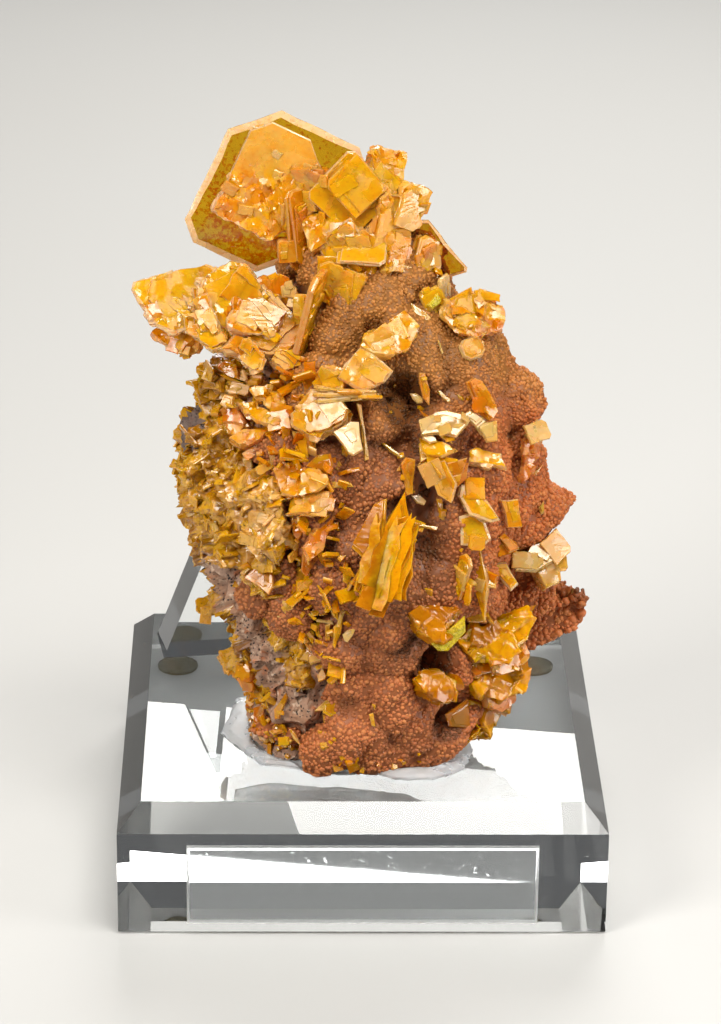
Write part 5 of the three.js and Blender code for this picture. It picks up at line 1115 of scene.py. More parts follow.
looseCrystals = {
    "orange": [
        slabOf((-18.2, -17.1, 90.5), (-20, 38), 1.6, -5.1, 1.3, -2.5, 1.8, 0.3, 1.2, 4.7, -0.5, 4.8, -1.9,
            0.9, -1.3, -3.1, -0.6),
        slabOf((-20, -17.9, 86.6), (-20, 45), 1.6, -3.9, -1.2, -2.5, 0.7, 1.4, 2, 3.1, 1.8, 2.9, 0.4,
            0.8, -1.6, -1.8, -2.2),
        slabOf((-24.4, -10.5, 96.8), (-25, 20), 1.2, -2.4, 1.4, 1.5, 1.7, 2.6, -1.4, 0.4, -1.8, -2.2, 0.1),
        slabOf((-20.1, -12.7, 96.1), (-15, 20), 1, -1.8, 0.7, 1.8, 0.8, 1.4, -0.5, -1.4, -1),
        slabOf((-7.6, -25.8, 85.1), (6, 20), 0.9, -3.1, -0.2, -1, 1.7, 1.5, 1.9, 1.9, -0.2, 1.6, -2.1,
            -0.9, -1.1),
        slabOf((-8, -29.3, 72.3), (18, 22), 1.2, -3.5, -1.5, -1, 1.2, 3.3, 4, 2.8, 2.3, 0.9, -0, 0.1, -2.4,
            -2.7, -3.6),
        slabOf((-11.9, -27.8, 73.6), (-10, 15), 1, -1.3, 1.4, 0.7, 2.3, 1.3, 0.1, 0.2, -2.5, -0.9, -1.3),
        slabOf((-18.1, -27.5, 63.5), (-18, 32), 0.9, -3.6, -0.4, -1.4, 2.2, 0.5, 3.3, 1.8, 0.4, 2.1, -1.3,
            1.5, -2.8, -1, -1.4),
        slabOf((-3.3, -29.5, 67.3), (20, 10), 0.5, -0.8, -0.7, 0.1, 1.7, 0.5, 0.5, 0.1, -1.4),
        slabOf((-9.6, -27.6, 67.8), (14, 18), 0.9, -1.5, 1.1, 1.2, 2.8, 2.3, 2.6, 1.2, -0.6, -1.2, -3.4,
            -2, -2.5),
        slabOf((11.2, -20.5, 92), (-10, 40), 0.4, -1.8, 1.5, 1.5, -0.5, 1.3, -1.1, -0.9, 0.2),
        slabOf((17.3, -8.7, 105.2), (20, 48), 1.4, -3.1, 2.4, -1.6, 3.6, 1, 1.5, 2.6, -2.4, 1.9, -3.2,
            -0.8, -2),
        slabOf((30.2, -13.6, 81.5), (40, 12), 1.4, -1.3, 3.8, 2.7, 2.7, 1.6, -0.4, -0.2, -2.6, -2.8, -3.5),
        slabOf((7.6, -25.9, 83.3), (20, 12), 0.9, -1.2, 2, -0.2, 3.1, 1.5, 2.5, 0.6, -3.7, -0.7, -3.9),
    ],
    "yellow": [
        slabOf((-24.6, -16, 93.2), (-25, 25), 1, -1.4, -0.8, -0.8, 1.2, 1.1, 1, 1.2, -0.9, 0, -1.5),
        slabOf((-23.1, -15.4, 89.5), (-25, 30), 2, -2.9, 0.5, -1.7, 1.8, -0.2, 2.3, 2, 0.3, 3.4, -1,
            0.9, -2.2, -1.5, -1.6),
        slabOf((-27.9, -10.4, 95.8), (-30, 25), 1, -1.6, -0.8, -1, 1.6, 1.7, 0.3, 0.9, -1.1),
        slabOf((-11.6, -22.5, 88.9), (-8, 35), 1, -1.7, 1.1, 0.9, 1, 1.5, -0.7, -0.7, -1.4),
        slabOf((-15.2, -26.6, 59.7), (-6, 55), 0.5, -3.3, -0.9, -0.6, 0.8, 2.1, 0.9, 2.8, 0.3, 0.6, -0.4,
            -1.6, -0.7),
        slabOf((-13.8, -27.7, 58.2), (-20, 20), 0.9, -1, 1, 0.7, 1.6, 1.5, -0.3, -0.1, -1.6, -1.1, -0.7),
        slabOf((-7.5, -28.5, 57.6), (5, 50), 0.5, -2.2, -0.1, 1.8, 1, 2.1, 0.3, -1.7, -1.1),
        slabOf((-5.8, -29.6, 59.3), (18, 20), 0.5, -1.5, 2.6, -0.3, 3, 1.1, -0.8, 0.8, -3, -0.2, -1.8),
        slabOf((-9, -27.3, 58.2), (-20, 30), 0.6, -1.3, 1.4, -0.3, 0.7, 1.4, -0.5, 0.1, -1.5),
        slabOf((-8.2, -27.9, 53.3), (-15, 15), 0.5, -1, 1.5, 0.4, 0.8, 0.9, -1.4, -0.3, -1),
        slabOf((-4.9, -31.1, 54.1), (20, 18), 0.5, -0.5, 1.4, 1.4, 2.8, 0.8, 0.1, -0.7, -2.5, -1, -1.9),
        slabOf((-10.5, -27.1, 53.1), (-15, 28), 0.8, -1.7, 2, -0.2, 1.9, 1.8, -0.4, 1.8, -2.6, 0.4, -1.1,
            -2, 0.3),
        slabOf((-4.8, -30.9, 49.1), (10, 30), 0.5, -0.3, 1.3, 0.8, -0.4, 0.1, -1.2, -0.6, 0.3),
        slabOf((-5.6, -29.2, 38.4), (8, 25), 0.8, -1.5, 0.8, 0.5, 1.3, 2, 1.7, 1.2, -1.3, -0.5, -1.7,
            -1.8, -0.8),
        slabOf((-6.2, -29, 35.2), (-10, 15), 0.7, -1.2, 1.6, 0.8, 0.9, 1.2, -1.1, 0.1, -1.6, -0.9, 0.2),
        slabOf((-18.7, -18.6, 37.6), (-25, 15), 1.2, -1.7, 2.2, 0.5, 2.9, 1.5, -0.6, 0.5, -2.9, -0.9, -1.7),
        slabOf((-14.2, -26.7, 30.2), (-10, 30), 0.8, -1.3, 0.4, 0.1, 1.1, 1.6, 0.4, 0.4, -1.1, -0.9, -0.8),
        slabOf((-6.4, -31.4, 31.7), (0, 40), 0.6, -1.5, 0.2, 1.3, 0.8, 1, -0.3, -0.9, -0.8),
        slabOf((1.7, -32, 37.4), (10, 20), 0.5, -0.6, 1.1, 0.2, 1.3, 0.5, -1.3, -0.2, -1.1),
        slabOf((2, -31.5, 39.9), (10, 30), 0.4, -0.4, 0.5, 0.4, 0.2, 0, -0.7),
        slabOf((-3.1, -29.5, 64.8), (10, 25), 0.6, -0.8, 0.6, 0.8, 1.7, 1, 0.3, -0.1, -1.6, -0.9, -1),
        slabOf((-12, -26.2, 63.8), (-4, 25), 0.8, -2.2, 0.9, 0, 1.4, 1.9, 0.5, 1.2, -1.2, -1, -1.6),
        slabOf((17.3, -16.8, 94.3), (10, 40), 0.4, -0.7, 0.8, 0.9, -0.2, 0.3, -0.6, -0.5, -0),
        slabOf((10.9, -8.1, 111.1), (20, 20), 1, -1.1, 0.3, -0.2, 1.1, 0.9, -0.2, 0.4, -1.2),
        slabOf((12.8, -8.9, 109.6), (10, 30), 0.9, -1.8, -0.5, 0.5, 1.7, 1.1, 0.4, 0.8, -0.4, -0.6, -1.2),
        slabOf((13.7, -23.5, 90.1), (12, 40), 0.4, -2.1, 1, -0.6, 2.2, 0.9, -0.1, 1.6, -2, 0.2, -1.1),
        slabOf((11.2, -24.7, 87), (4, 40), 0.8, -1.6, 1.7, 0.4, 1.4, 2.4, -0, 0.3, -1, -1.5, -2),
        slabOf((11.2, -25, 85.5), (4, 55), 0.6, -1.9, -0.8, -0.6, 0.7, 1.9, 0.7, 0.6, -0.6),
        slabOf((4.8, -23.6, 86.9), (0, 45), 0.4, -2, 1.5, -1.3, 1.4, 2.1, -1.3, 1.7, -1.5, -0.5, 0),
        slabOf((10.9, -27.2, 73.6), (0, 50), 0.4, -2.1, 0.8, 2.2, -0.1, 1.9, -0.7, -1.9, 0),
        slabOf((5.4, -23.7, 86.3), (0, 45), 0.4, -1.5, 1.2, 1.6, -0.6, 1, -1, -1.1, 0.5),
        slabOf((21.2, -26.5, 62.4), (8, 50), 0.6, -2.9, 0.9, 3, 0.5, 2.4, -1.4, -2.5, 0.1),
    ],
    "gold": [
        slabOf((26.6, -21.6, 44.7), (30, 25), 1.8, -4.0, -1.0, -1.5, 2.4, 3.6, 2.0, 4.2, -0.6, 1.0, -2.6,
            -2.6, -2.4),
        slabOf((21.8, -22.6, 44.2), (8, 32), 1.6, -3.4, 0.4, -0.6, 2.6, 3.4, 1.5, 2.6, -1.8, -1.4, -2.4),
        slabOf((25.2, -21.0, 36.8), (36, 18), 1.8, -3.6, 1.5, 0.6, 3.0, 4.2, 1.6, 3.4, -1.8, -0.4, -3.0,
            -3.2, -1.0),
        slabOf((21.6, -20.6, 30.4), (20, 14), 1.6, -3.0, 1.6, 1.0, 2.6, 3.4, 0.6, 2.0, -2.4, -2.2, -2.0),
        slabOf((-16.4, -7.5, 110.6), (6, 30), 1.8, -4, -3.4, -4.6, 1.2, -1.8, 3.6, 2.8, 2.8, 4, -0.6,
            2.4, -3.8),
        slabOf((-16.7, -17, 93.1), (-10, 30), 1.2, -3, 1.8, 0.4, 1.7, 2.3, 0.1, 2.3, -2.5, 0.1, -1.6,
            -2.1, 0.5),
        slabOf((-23.2, -12, 95.6), (-15, 50), 0.6, -4, 1.2, -1.2, 0.6, 2, -0.8, 4.8, -0.8, 0.6, -0.4,
            -2.2, 0.2),
        slabOf((-13, -25.7, 81.9), (-14, 28), 1.2, -3.6, 2.3, -0.6, 3.1, 2.7, 1.9, 2.4, 0.1, 1.9, -2.4,
            -0.3, -3.7, -2.6, -1.4),
        slabOf((-8.4, -26.2, 81.8), (4, 35), 0.9, -2.7, 1.2, -0.1, 1.9, 2.3, 0, 1.8, -1.5, -1.3, -1.7),
        slabOf((-9.8, -23.1, 88.3), (10, 30), 0.9, -1, 1.6, 1.2, 0.9, 0.8, -1.3, -1, -1.2),
        slabOf((-6.5, -29.9, 53.9), (8, 12), 0.5, -0.4, 1.4, 0.5, 1.6, 0.4, -1.5, -0.5, -1.5),
        slabOf((-10.2, -26.9, 50.8), (-30, 20), 0.6, -1.1, 2.4, 1.4, -0.8, 1, -1.7, -1.3, 0.1),
        slabOf((-10.2, -26.6, 48.5), (-20, 25), 0.7, -2.1, 2, -0.2, 1.2, 1.9, -0.8, 1.4, -1.7, -1.1, -0.7),
        slabOf((-6.9, -27.7, 47.4), (-5, 20), 0.7, -1.4, 2.1, 0.3, 1, 1.8, -2, 0.4, -1.5, -1.1, 0.4),
        slabOf((-15, -25.2, 36.5), (-25, 20), 0.7, -1.2, -0.6, 0.7, 2.9, 1.2, 2.1, 0.1, -2.1, -0.7, -2.4),
        slabOf((-21.5, -18.2, 40.1), (-35, 15), 1.6, -2, 2.5, 0.2, 3.6, 1.6, 0.8, 2.1, -2.9, -0, -2.9,
            -1.8, -1),
        slabOf((-19.1, -18.9, 31.5), (-30, 20), 1, -1.4, 1.5, 0.2, 2.5, 1.5, -0.7, 0.5, -2.1, -0.7, -1.2),
        slabOf((-12.3, -27.3, 31.6), (-20, 25), 0.5, -1.4, 1.5, 0, 0.7, 1.6, -1.7, -0.2, -0.5),
        slabOf((-15.6, -25.4, 31.6), (-10, 50), 0.5, -1.6, 0, 0.6, 0.7, 1.6, -0, -0.6, -0.7),
        slabOf((-2.6, -32.1, 30.7), (15, 30), 0.5, -1.3, 2.5, 1.2, -0.6, 0.7, -1.5, -0.6, -0.4),
        slabOf((-18.1, -22.6, 28.6), (-15, 40), 0.5, -1.2, 0.8, 1.5, 0.1, 0.5, -0.6, -0.8, -0.2),
        slabOf((-15.9, -25, 67.1), (-12, 15), 1.2, -1.4, 2.3, 1.7, 2.6, 1.5, -1.7, -0.2, -2.4, -1.5, -0.8),
        slabOf((-4.1, -29.6, 43.7), (0, 45), 0.6, -1.9, 1.3, -0.5, 0.7, 1.6, -0.5, 1.2, -1.1, -0.5, -0.5),
        slabOf((10.5, -18.4, 97), (25, 15), 0.6, -0.7, 2.7, 0.4, 2.5, 1.1, -0.7, 0.6, -3.4, -0.4, -2,
            -0.9, 0.9),
        slabOf((22.9, -8, 99.7), (40, 20), 1, -0.7, 2.5, 1.6, 0.9, 0.5, -1.4, -1.4, -2),
        slabOf((31.5, -11.9, 78), (40, 20), 0.5, -1.4, -0.1, 1.8, 0.8, -0.4, -0.8),
        slabOf((-1.2, -20.4, 95.7), (0, 55), 0.8, -3.3, 1, 3.4, 0.5, 3.6, -0.4, -0.3, -0.7, -3.3, -0.3),
        slabOf((0.7, -26.7, 77), (0, 25), 0.5, -0.8, 0.9, 0.8, 0.6, 0.5, -0.8, -0.5, -0.7),
        slabOf((20.5, -23.7, 54.2), (10, 35), 0.7, -1.9, 0.7, 1.6, 1.4, 1.9, -1.2, -1.6, -0.9),
        slabOf((13.6, -25.8, 76.4), (25, 12), 0.5, -0.7, 2.1, 0.4, 1.9, 0.6, -2.3, -0.3, -1.7),
        slabOf((23.1, -23.4, 53.4), (10, 25), 0.4, -0.2, 1.3, 1, -1, 0, -0.7, -0.7, 0.4),
    ],
    "pale": [
        slabOf((-5.4, -24.9, 84.3), (20, 20), 0.4, -1.1, 1.7, -0.4, 1.4, 1.4, -2.1, 0.2, -1),
        slabOf((-4.2, -27.4, 81.8), (0, 30), 0.5, -1.9, 0.6, 1.6, 0.4, 2.1, -0.4, -1.7, -0.6),
        slabOf((-26.9, -19.3, 69.5), (-40, 25), 0.6, -0.4, 1.3, -2.3, 1, 0.4, -0.9, 1.7, -1.9, 0.6, 0.5),
        slabOf((-20.8, -19.3, 81.8), (-20, 20), 0.5, -1.5, 1.5, 0.4, 1.8, 1.1, -1.4, 0, -1.8),
        slabOf((-19.9, -25.2, 65.3), (-30, 40), 0.5, -2, -2.3, 1.2, 2.6, 1.8, 2.1, -1, -2.4),
        slabOf((-11.7, -27.9, 57.4), (10, 40), 0.8, -1.2, 0.4, -0, 1.2, 1.2, -0.1, 0.9, -0.8, -0.8, -0.8),
        slabOf((-4, -30.2, 57.8), (24, 20), 0.4, 0.3, 1.5, 1.1, 2.4, 0.9, 0.5, -0.8, -2.3, -1.4, -2.2),
        slabOf((-6.6, -28.8, 39), (-8, 55), 0.5, -2, -1.6, -0.3, 0.7, 1.6, 1.5, 1.4, 0.8, -0.6, -1.4),
        slabOf((13.9, -17.6, 95.1), (10, 40), 0.5, -1.7, 1.6, -0.9, 1.6, 1.4, -1, 1.1, -1.5, 0.1, -0.8),
        slabOf((19.6, -12.4, 101.9), (30, 35), 0.5, -2.4, 1.3, -1, 1.8, 1.3, 1.7, 2.2, -0.1, 1.7, -1.6,
            0.5, -2.5, -0.1, -0.7, -2.2, 0.2),
        slabOf((23.1, -10.1, 96.8), (30, 35), 0.5, -1.1, 1, 0.4, 1.2, 1.4, 0.5, 0.2, -1.1, -0.9, -1.5),
        slabOf((-0.5, -24.4, 90.9), (30, 15), 0.4, -0.5, 5.2, 0.3, 4.8, 0.5, -5.2, -0.3, -5.3, -0, 0.3),
        slabOf((10, -10.4, 108.1), (10, 50), 0.5, -1.6, 2.2, 0.5, 0.6, 1.7, -1.2, 0.9, -1.7, -1.4, 0.2),
        slabOf((33.6, -11.5, 56.3), (22, 38), 0.9, -2.5, 1.8, 0.8, 1.7, 2.9, -1.3, -1.2, -2.1),
        slabOf((32.7, -12.8, 70.9), (20, 20), 0.4, -0.6, 0.3, 0.5, 1.4, 0.4, -0.7, -0.3, -1),
    ],
    "cream": [
        slabOf((-13.6, -9.6, 112), (10, 25), 1.4, -1.3, -1.1, -1.5, 0.9, 0.3, 1.6, 1.4, 0.4, 0.9, -1.4),
        slabOf((-13, -10.4, 109.8), (-14, 30), 1.2, -1.1, -0.7, -0.9, 1, 0.9, 0.9, 1.1, -0.9),
        slabOf((-7.2, -29.2, 55.8), (5, 62), 0.4, -1.8, 0.7, 1.5, 0.1, 1.7, -0.8, -1.3, -0),
        slabOf((-2.8, -32, 54.4), (14, 36), 0.5, -1.1, 0.2, -0.1, 0.9, 1.6, 1.2, 0.9, -0, -0.4, -1.3,
            -0.9, -1),
        slabOf((-14.6, -28.5, 56.2), (0, 60), 0.3, -1.1, 0.3, 0.1, 0.3, 1.1, -0.2, 0.6, -0.4, -0.7, -0),
        slabOf((9.3, -18.4, 94.8), (12, 35), 0.6, -1.2, 1, -0.1, 1, 1.3, -0.1, 0.9, -0.9, -0.1, -0.9,
            -0.8, -0.1),
        slabOf((11.4, -23.7, 90.3), (6, 44), 0.8, -1.4, 0.8, 0.2, 2.1, 1, 1.8, 0.3, 0.2, 1.2, -1.7, -0.1, -2,
            -1.3, -1.1),
        slabOf((19.8, -17.6, 90.5), (16, 42), 0.5, -2, 1, -0.3, 1.6, 1.9, -1.1, 0.7, -1.3, -0.4, -0.3),
        slabOf((13.4, -14.2, 103.2), (20, 30), 0.3, -0.4, 1.3, -0.1, 1.3, 0.4, -1.3, 0.1, -1.4),
        slabOf((9.8, -25.1, 77.9), (0, 44), 0.6, -1.5, 0.8, -0, 1, 1.2, -0.2, 0.8, -1, -0.5, -0.6),
        slabOf((10.1, -29, 42.6), (5, 50), 0.3, -1.6, 1, -0.7, 0.9, 1.4, -0.8, 0.9, -1),
    ],
    "bright": [
        slabOf((15.4, -33.2, 55.2), (14, 16), 0.9, -3.6, -1.4, 2.9, 3, 2.9, 0.2, -0.6, -3, -2.4, -2.8),
        slabOf((12.6, -9.6, 109.9), (10, 30), 0.9, -1.8, -0.5, 0.5, 1.7, 1.1, 0.4, 0.8, -0.4, -0.6, -1.2),
    ],
    "brown": [slabOf((17.6, -24.7, 34.4), (30, 15), 0.7, -2.7, 1.1, 2.5, 2.9, 2.2, -2.7, -2.1, -1.3)],
}


def growGroups(finishes):
    # every group of crystals takes the place of its plain solid
    for group, rows in crystalGroups.items():
        if group in massive["dark"]:
            growMassive(group, finishes[2])
            continue
        dice = random.Random(group)
        soup = Soup()
        for index, row in enumerate(rows):
            own = habits.get(group, {})
            habit = {**usualHabit, **own, **own.get(index, {})}
            grow(soup, row, habit, dice)
        soup.piece(group + "_crystals", finishes, ["wulfenite_" + group])


# lumps of crystal that aren't plates: rough glassy bodies with faces that lean every way
massive = {
    "longest": 0.5, "facets": ((6.0, 2.0), (2.6, 0.6)), "sunk": 0.2,
    # the groups that are made in this way, and how much darker each one is
    "dark": {"olive_crystal": 0.6, "amber_blocks": 0.25, "amber_cluster": 0.0},
}


def growMassive(group, finish):
    coarse, fine = (size for size, _ in massive["facets"])
    dark = massive["dark"][group]

    def rise(spot):
        return facetRise(spot, massive["facets"]) - massive["sunk"]

    def look(spot):
        # the palest of the small facets get a painted glint
        pale = clamp(facetShade(spot, fine) * 5 - 4.3) * max(0, 0.5 - dark)
        return {"tone": lerp(0.2, 1.0, facetShade(spot, coarse)) - dark, "rim": 0.0, "cream": pale}

    body = roughened("wulfenite_" + group, group + "_body", massive["longest"], finish,
                     rise, look)
    faceted(body.data)


# the crust: a knobbly skin in the crust's own place, and round grains over it
crust = {
    "longest": 1.4, "sunk": 2.1, "settled": 0.4, "knobs": ((10.5, 3.3), (4.6, 0.9), (2.2, 0.35)),
    "most": 9900,     # grains in one piece
    # near the rock it thins out: from how far off, over how many mm, and how deep it is buried where it ends
    "thinning": (0.35, 0.6), "buried": 1.6,
    # it is lower at the right edge: from which x, over how many mm and by how much
    "rightEdge": (22, 6, 1.5),
    # z from and to in mm, the grains' spacing, their least and greatest radius, and which way the crust faces
    # there, from -1 for the front to 1 for the back
    "zones": ((25.3, 87, 0.77, 0.28, 0.56, -1, 0.3), (87, 130, 0.68, 0.23, 0.47, -1, 0.3),
              (25.3, 130, 1.4, 0.5, 0.85, 0.3, 1)),
}
# hollows that reach into the crust and the rock under it: x, y, z, width and depth in mm
hollows = [
    (7.1, -18.4, 95, 7, 8), (1.7, -13.5, 106, 3, 3), (5.6, -25, 77, 3.6, 4.5), (-6.9, -27.8, 69.7, 3.5, 4),
    (15.8, -25, 33.4, 5, 4.5), (12.2, -26.5, 45.2, 6, 5.5), (28.4, -14.8, 79.5, 3, 2),
    (8.4, -21.5, 88.1, 4, 4.5), (-3.3, -29.9, 39.4, 4, 2),
]


def hollowAt(spot):
    depth = 0.0
    for x, y, z, width, deep in hollows:
        away = (Vector(spot) - Vector((x, y, z))).length / width
        depth = max(depth, deep * (1 - clamp(away) ** 2) ** 2 if away < 1 else 0.0)
    return depth


def knobs(spot, sizes):
    # round knobs of several sizes, as the height they add in mm
    height = 0.0
    for size, reach in sizes:
        nearest = noise.voronoi(Vector(spot) / size)[0][0]
        height += reach * math.sqrt(1 - min(1.0, nearest / 0.82) ** 2)
    return height


def crustSkin(node, finish):
    rockTree = closeTo("matrix_rock")
    work = fineCopy(node, crust["longest"])
    thinFrom, thinOver = crust["thinning"]
    edgeFrom, edgeOver, drop = crust["rightEdge"]
    for vertex in work.verts:
        spot = vertex.co / mm
        near = rockTree.find_nearest(vertex.co)
        outside = clamp((near[3] / mm - thinFrom) / thinOver)
        lower = drop * clamp((spot.x - edgeFrom) / edgeOver)
        rise = knobs(spot, crust["knobs"]) - crust["sunk"] - crust["settled"] - lower
        sunk = (1 - outside) * crust["buried"] + hollowAt(spot)
        vertex.co += vertex.normal * rise * mm * outside - near[1] * sunk * mm
    work.normal_update()
    mesh = bpy.data.meshes.new(node + "_skin")
    work.to_mesh(mesh)
    work.free()
    mesh.shade_smooth()
    # the skin shows only between the grains; its rim number of 0.6 paints shade over it there
    numbers(mesh, {"tone": 0.3, "rim": 0.6, "cream": 0.0})
    return placed(node + "_skin", mesh, [finish], [node])


def numbers(mesh, values):
    # one number or a list of them, kept on the faces
    for key, value in values.items():
        count = len(mesh.polygons)
        filled = np.full(count, value) if np.isscalar(value) else np.asarray(value)
        mesh.attributes.new(key, "FLOAT", "FACE").data.foreach_set("value", filled)


def ball():
    # a twenty-sided ball of radius 1
    work = bmesh.new()
    bmesh.ops.create_icosphere(work, subdivisions=1, radius=1)
    points = np.array([vertex.co[:] for vertex in work.verts])
    faces = np.array([[vertex.index for vertex in face.verts] for face in work.faces])
    work.free()
    return points, faces


def meshOf(name, points, faces):
    # points in mm, all faces triangles, shaded smooth
    mesh = bpy.data.meshes.new(name)
    mesh.vertices.add(len(points))
    mesh.vertices.foreach_set("co", (points * mm).astype(np.float32).ravel())
    mesh.loops.add(faces.size)
    mesh.loops.foreach_set("vertex_index", faces.astype(np.int32).ravel())
    mesh.polygons.add(len(faces))
    mesh.polygons.foreach_set("loop_start", np.arange(0, faces.size, 3, dtype=np.int32))
    mesh.polygons.foreach_set("use_smooth", np.full(len(faces), True))
    mesh.update(calc_edges=True)
    return mesh


def grains(skins, finish, seed):
    # round grains over the skins' outside, in pieces of a size that is easy to handle
    chance = np.random.default_rng(seed)
    rockTree = closeTo("matrix_rock")
    spots, ways, sizes = [], [], []
    for skin in skins:
        for bottom, top, spacing, least, greatest, fore, aft in crust["zones"]:
            def outside(points, normals):
                held = (points[:, 2] > bottom) & (points[:, 2] <= top)
                held &= (normals[:, 1] > fore) & (normals[:, 1] <= aft)
                for index in np.nonzero(held)[0]:
                    near = rockTree.find_nearest(Vector(points[index] * mm))
                    held[index] = near[3] > 0.5 * mm and near[1].dot(Vector(normals[index])) > -0.25
                return held
            at, way = scattered(skin.data, spacing, chance, outside)
            spots.append(at)
            ways.append(way)
            sizes.append(chance.uniform(least, greatest, len(at)) * chance.uniform(0.8, 1.15, len(at)))
    spots, ways, radius = np.concatenate(spots), np.concatenate(ways), np.concatenate(sizes)
    radius *= np.interp(spots[:, 0], (22, 32), (1.0, 1.15))
    count = len(spots)
    squash = chance.uniform(0.8, 1.2, (count, 3))
    points, faces = ball()
    spin = chance.uniform(0, 2 * np.pi, count)
    cos, sin = np.cos(spin)[:, None], np.sin(spin)[:, None]
    shape = points[None] * squash[:, None] * radius[:, None, None]
    turned = np.stack([shape[..., 0] * cos - shape[..., 2] * sin, shape[..., 1],
                       shape[..., 0] * sin + shape[..., 2] * cos], axis=-1)
    turned += (spots - ways * (radius * 0.25)[:, None])[:, None]
    tones = chance.random(count)
    order = np.argsort(np.arctan2(spots[:, 0], -spots[:, 1]))
    pieces = 0
    for part in range(0, count, crust["most"]):
        picked = order[part:part + crust["most"]]
        corner = np.arange(len(picked))[:, None, None] * len(points)
        mesh = meshOf("grains", turned[picked].reshape(-1, 3), (faces[None] + corner).reshape(-1, 3))
        tone = np.repeat(tones[picked], len(faces))
        # each grain's rim number is how deep it lies between the knobs and in the hollows, for the painted
        # shade
        depth = np.repeat(hollowness(spots[picked]), len(faces))
        numbers(mesh, {"tone": tone, "rim": depth, "cream": 0.0})
        pieces += 1
        placed(f"mimetite_grains_{pieces}", mesh, [finish])
    print("grains:", count, "in", pieces, "pieces")


def hollowness(spots):
    # painted shade between the knobs: 0 on top of a knob, 1 in a hollow
    highest = sum(reach for _, reach in crust["knobs"])
    made = np.empty(len(spots))
    for index, spot in enumerate(spots):
        made[index] = clamp(1.15 - knobs(spot, crust["knobs"][:2]) / highest * 1.35 + hollowAt(spot) / 2.5)
    return made


def roughened(node, name, longest, finish, rise, values):
    # a solid itself, made finer and rougher; its faces' numbers are given, or worked out at their middles
    work = fineCopy(node, longest)
    for vertex in work.verts:
        vertex.co += vertex.normal * rise(vertex.co / mm) * mm
    work.normal_update()
    mesh = bpy.data.meshes.new(name)
    work.to_mesh(mesh)
    work.free()
    if callable(values):
        rows = [values(face.center / mm) for face in mesh.polygons]
        values = {key: [row[key] for row in rows] for key in rows[0]}
    numbers(mesh, values)
    return placed(name, mesh, [finish], [node])


# the rock is bare from the first distance off the crust, over the second; then sizes and heights, all in mm
rock = {"longest": 1.5, "buried": 2.4, "bare": (0.5, 1.5), "rough": (5, 1.1), "grain": (1.3, 0.25)}


def rockRise():
    # bare rock is rough, and rock under the crust lies deeper
    crustTree = closeTo("mimetite_crust")
    start, over = rock["bare"]
    roughSize, roughHigh = rock["rough"]
    grainSize, grainHigh = rock["grain"]

    def rise(spot):
        near = crustTree.find_nearest(spot * mm)[3] / mm
        bare = clamp((near - start) / over)
        rough = noise.fractal(spot / roughSize, 0.9, 2.2, 5) * roughHigh
        rough += noise.noise(spot / grainSize) * grainHigh
        return rough * bare - rock["buried"] * (1 - bare) - hollowAt(spot)

    return rise


# size and height of the putty's folds and creases in mm; what rises over the block is flattened
putty = {"longest": 1.2, "folds": (5, 0.9), "creases": (1.8, 0.25), "sunk": 0.2, "flat": 0.4}


def pressPutty(finish):
    # a low uneven pad that lies on the block
    foldSize, foldHigh = putty["folds"]
    creaseSize, creaseHigh = putty["creases"]

    def rise(spot):
        high = noise.noise(spot / foldSize) * foldHigh + noise.noise(spot / creaseSize) * creaseHigh
        return high - putty["sunk"]

    body = roughened("putty_pad", "putty_body", putty["longest"], finish, rise, {"tone": 0.5})
    for vertex in body.data.vertices:
        above = vertex.co.z - blockTop * mm
        vertex.co.z = (blockTop + stand["gap"]) * mm + max(0, above) * putty["flat"]
    body.data.shade_smooth()


# size and reach of the druse's facets in mm, and from what bareness on a face is grey rock
druseMass = {
    "longest": 0.78, "facets": ((7, 3.2), (3.2, 2.0), (1.4, 0.9)), "sunk": 0.3, "sharp": 30, "grey": 0.4,
}


def druseRise(spot):
    return facetRise(spot, druseMass["facets"]) - druseMass["sunk"]


def druseNumbers(spot):
    # the bare knob is the greyest rock
    knob = (Vector(spot) - bareKnob["at"]).length < bareKnob["reach"] * 1.3
    middling, small = (facetShade(spot, size) for size, _ in druseMass["facets"][1:])
    tone = 0.0 if knob and bareness(spot) > druseMass["grey"] else lerp(0.35, 1.0, middling)
    # pale zones: a big one in the middle of the front, small ones elsewhere; the paleness of single small
    # facets is a painted glint
    middle = clamp(1.3 - math.hypot((spot[0] + 18) / 7, (spot[2] - 76) / 11)) if spot[1] < 0 else 0.0
    cream = clamp(middle * 0.55 + noise.noise(Vector(spot) / 4) * 0.4 - 0.1 + (small - 0.5) * 0.8)
    return {"tone": tone, "rim": 0.0, "cream": cream}


def growDruse(rockLook):
    finish = crystalFinish("druse", druseLook)
    druse = roughened("wulfenite_druse", "druse_body", druseMass["longest"], finish,
                      druseRise, druseNumbers)
    faceted(druse.data, druseMass["sharp"])
    druse.data.materials.append(rockLook)
    bare = [int(bareness(face.center / mm) > druseMass["grey"]) for face in druse.data.polygons]
    druse.data.polygons.foreach_set("material_index", bare)
    return druse


# the bare band of rock down the left of the front: x and z of its two ends and half its width, mm
bareBand = {"top": (-26.5, 61), "low": (-8, 27), "half": 4.2}
bareKnob = {"at": Vector((-31, -6, 83)), "reach": 6.0}


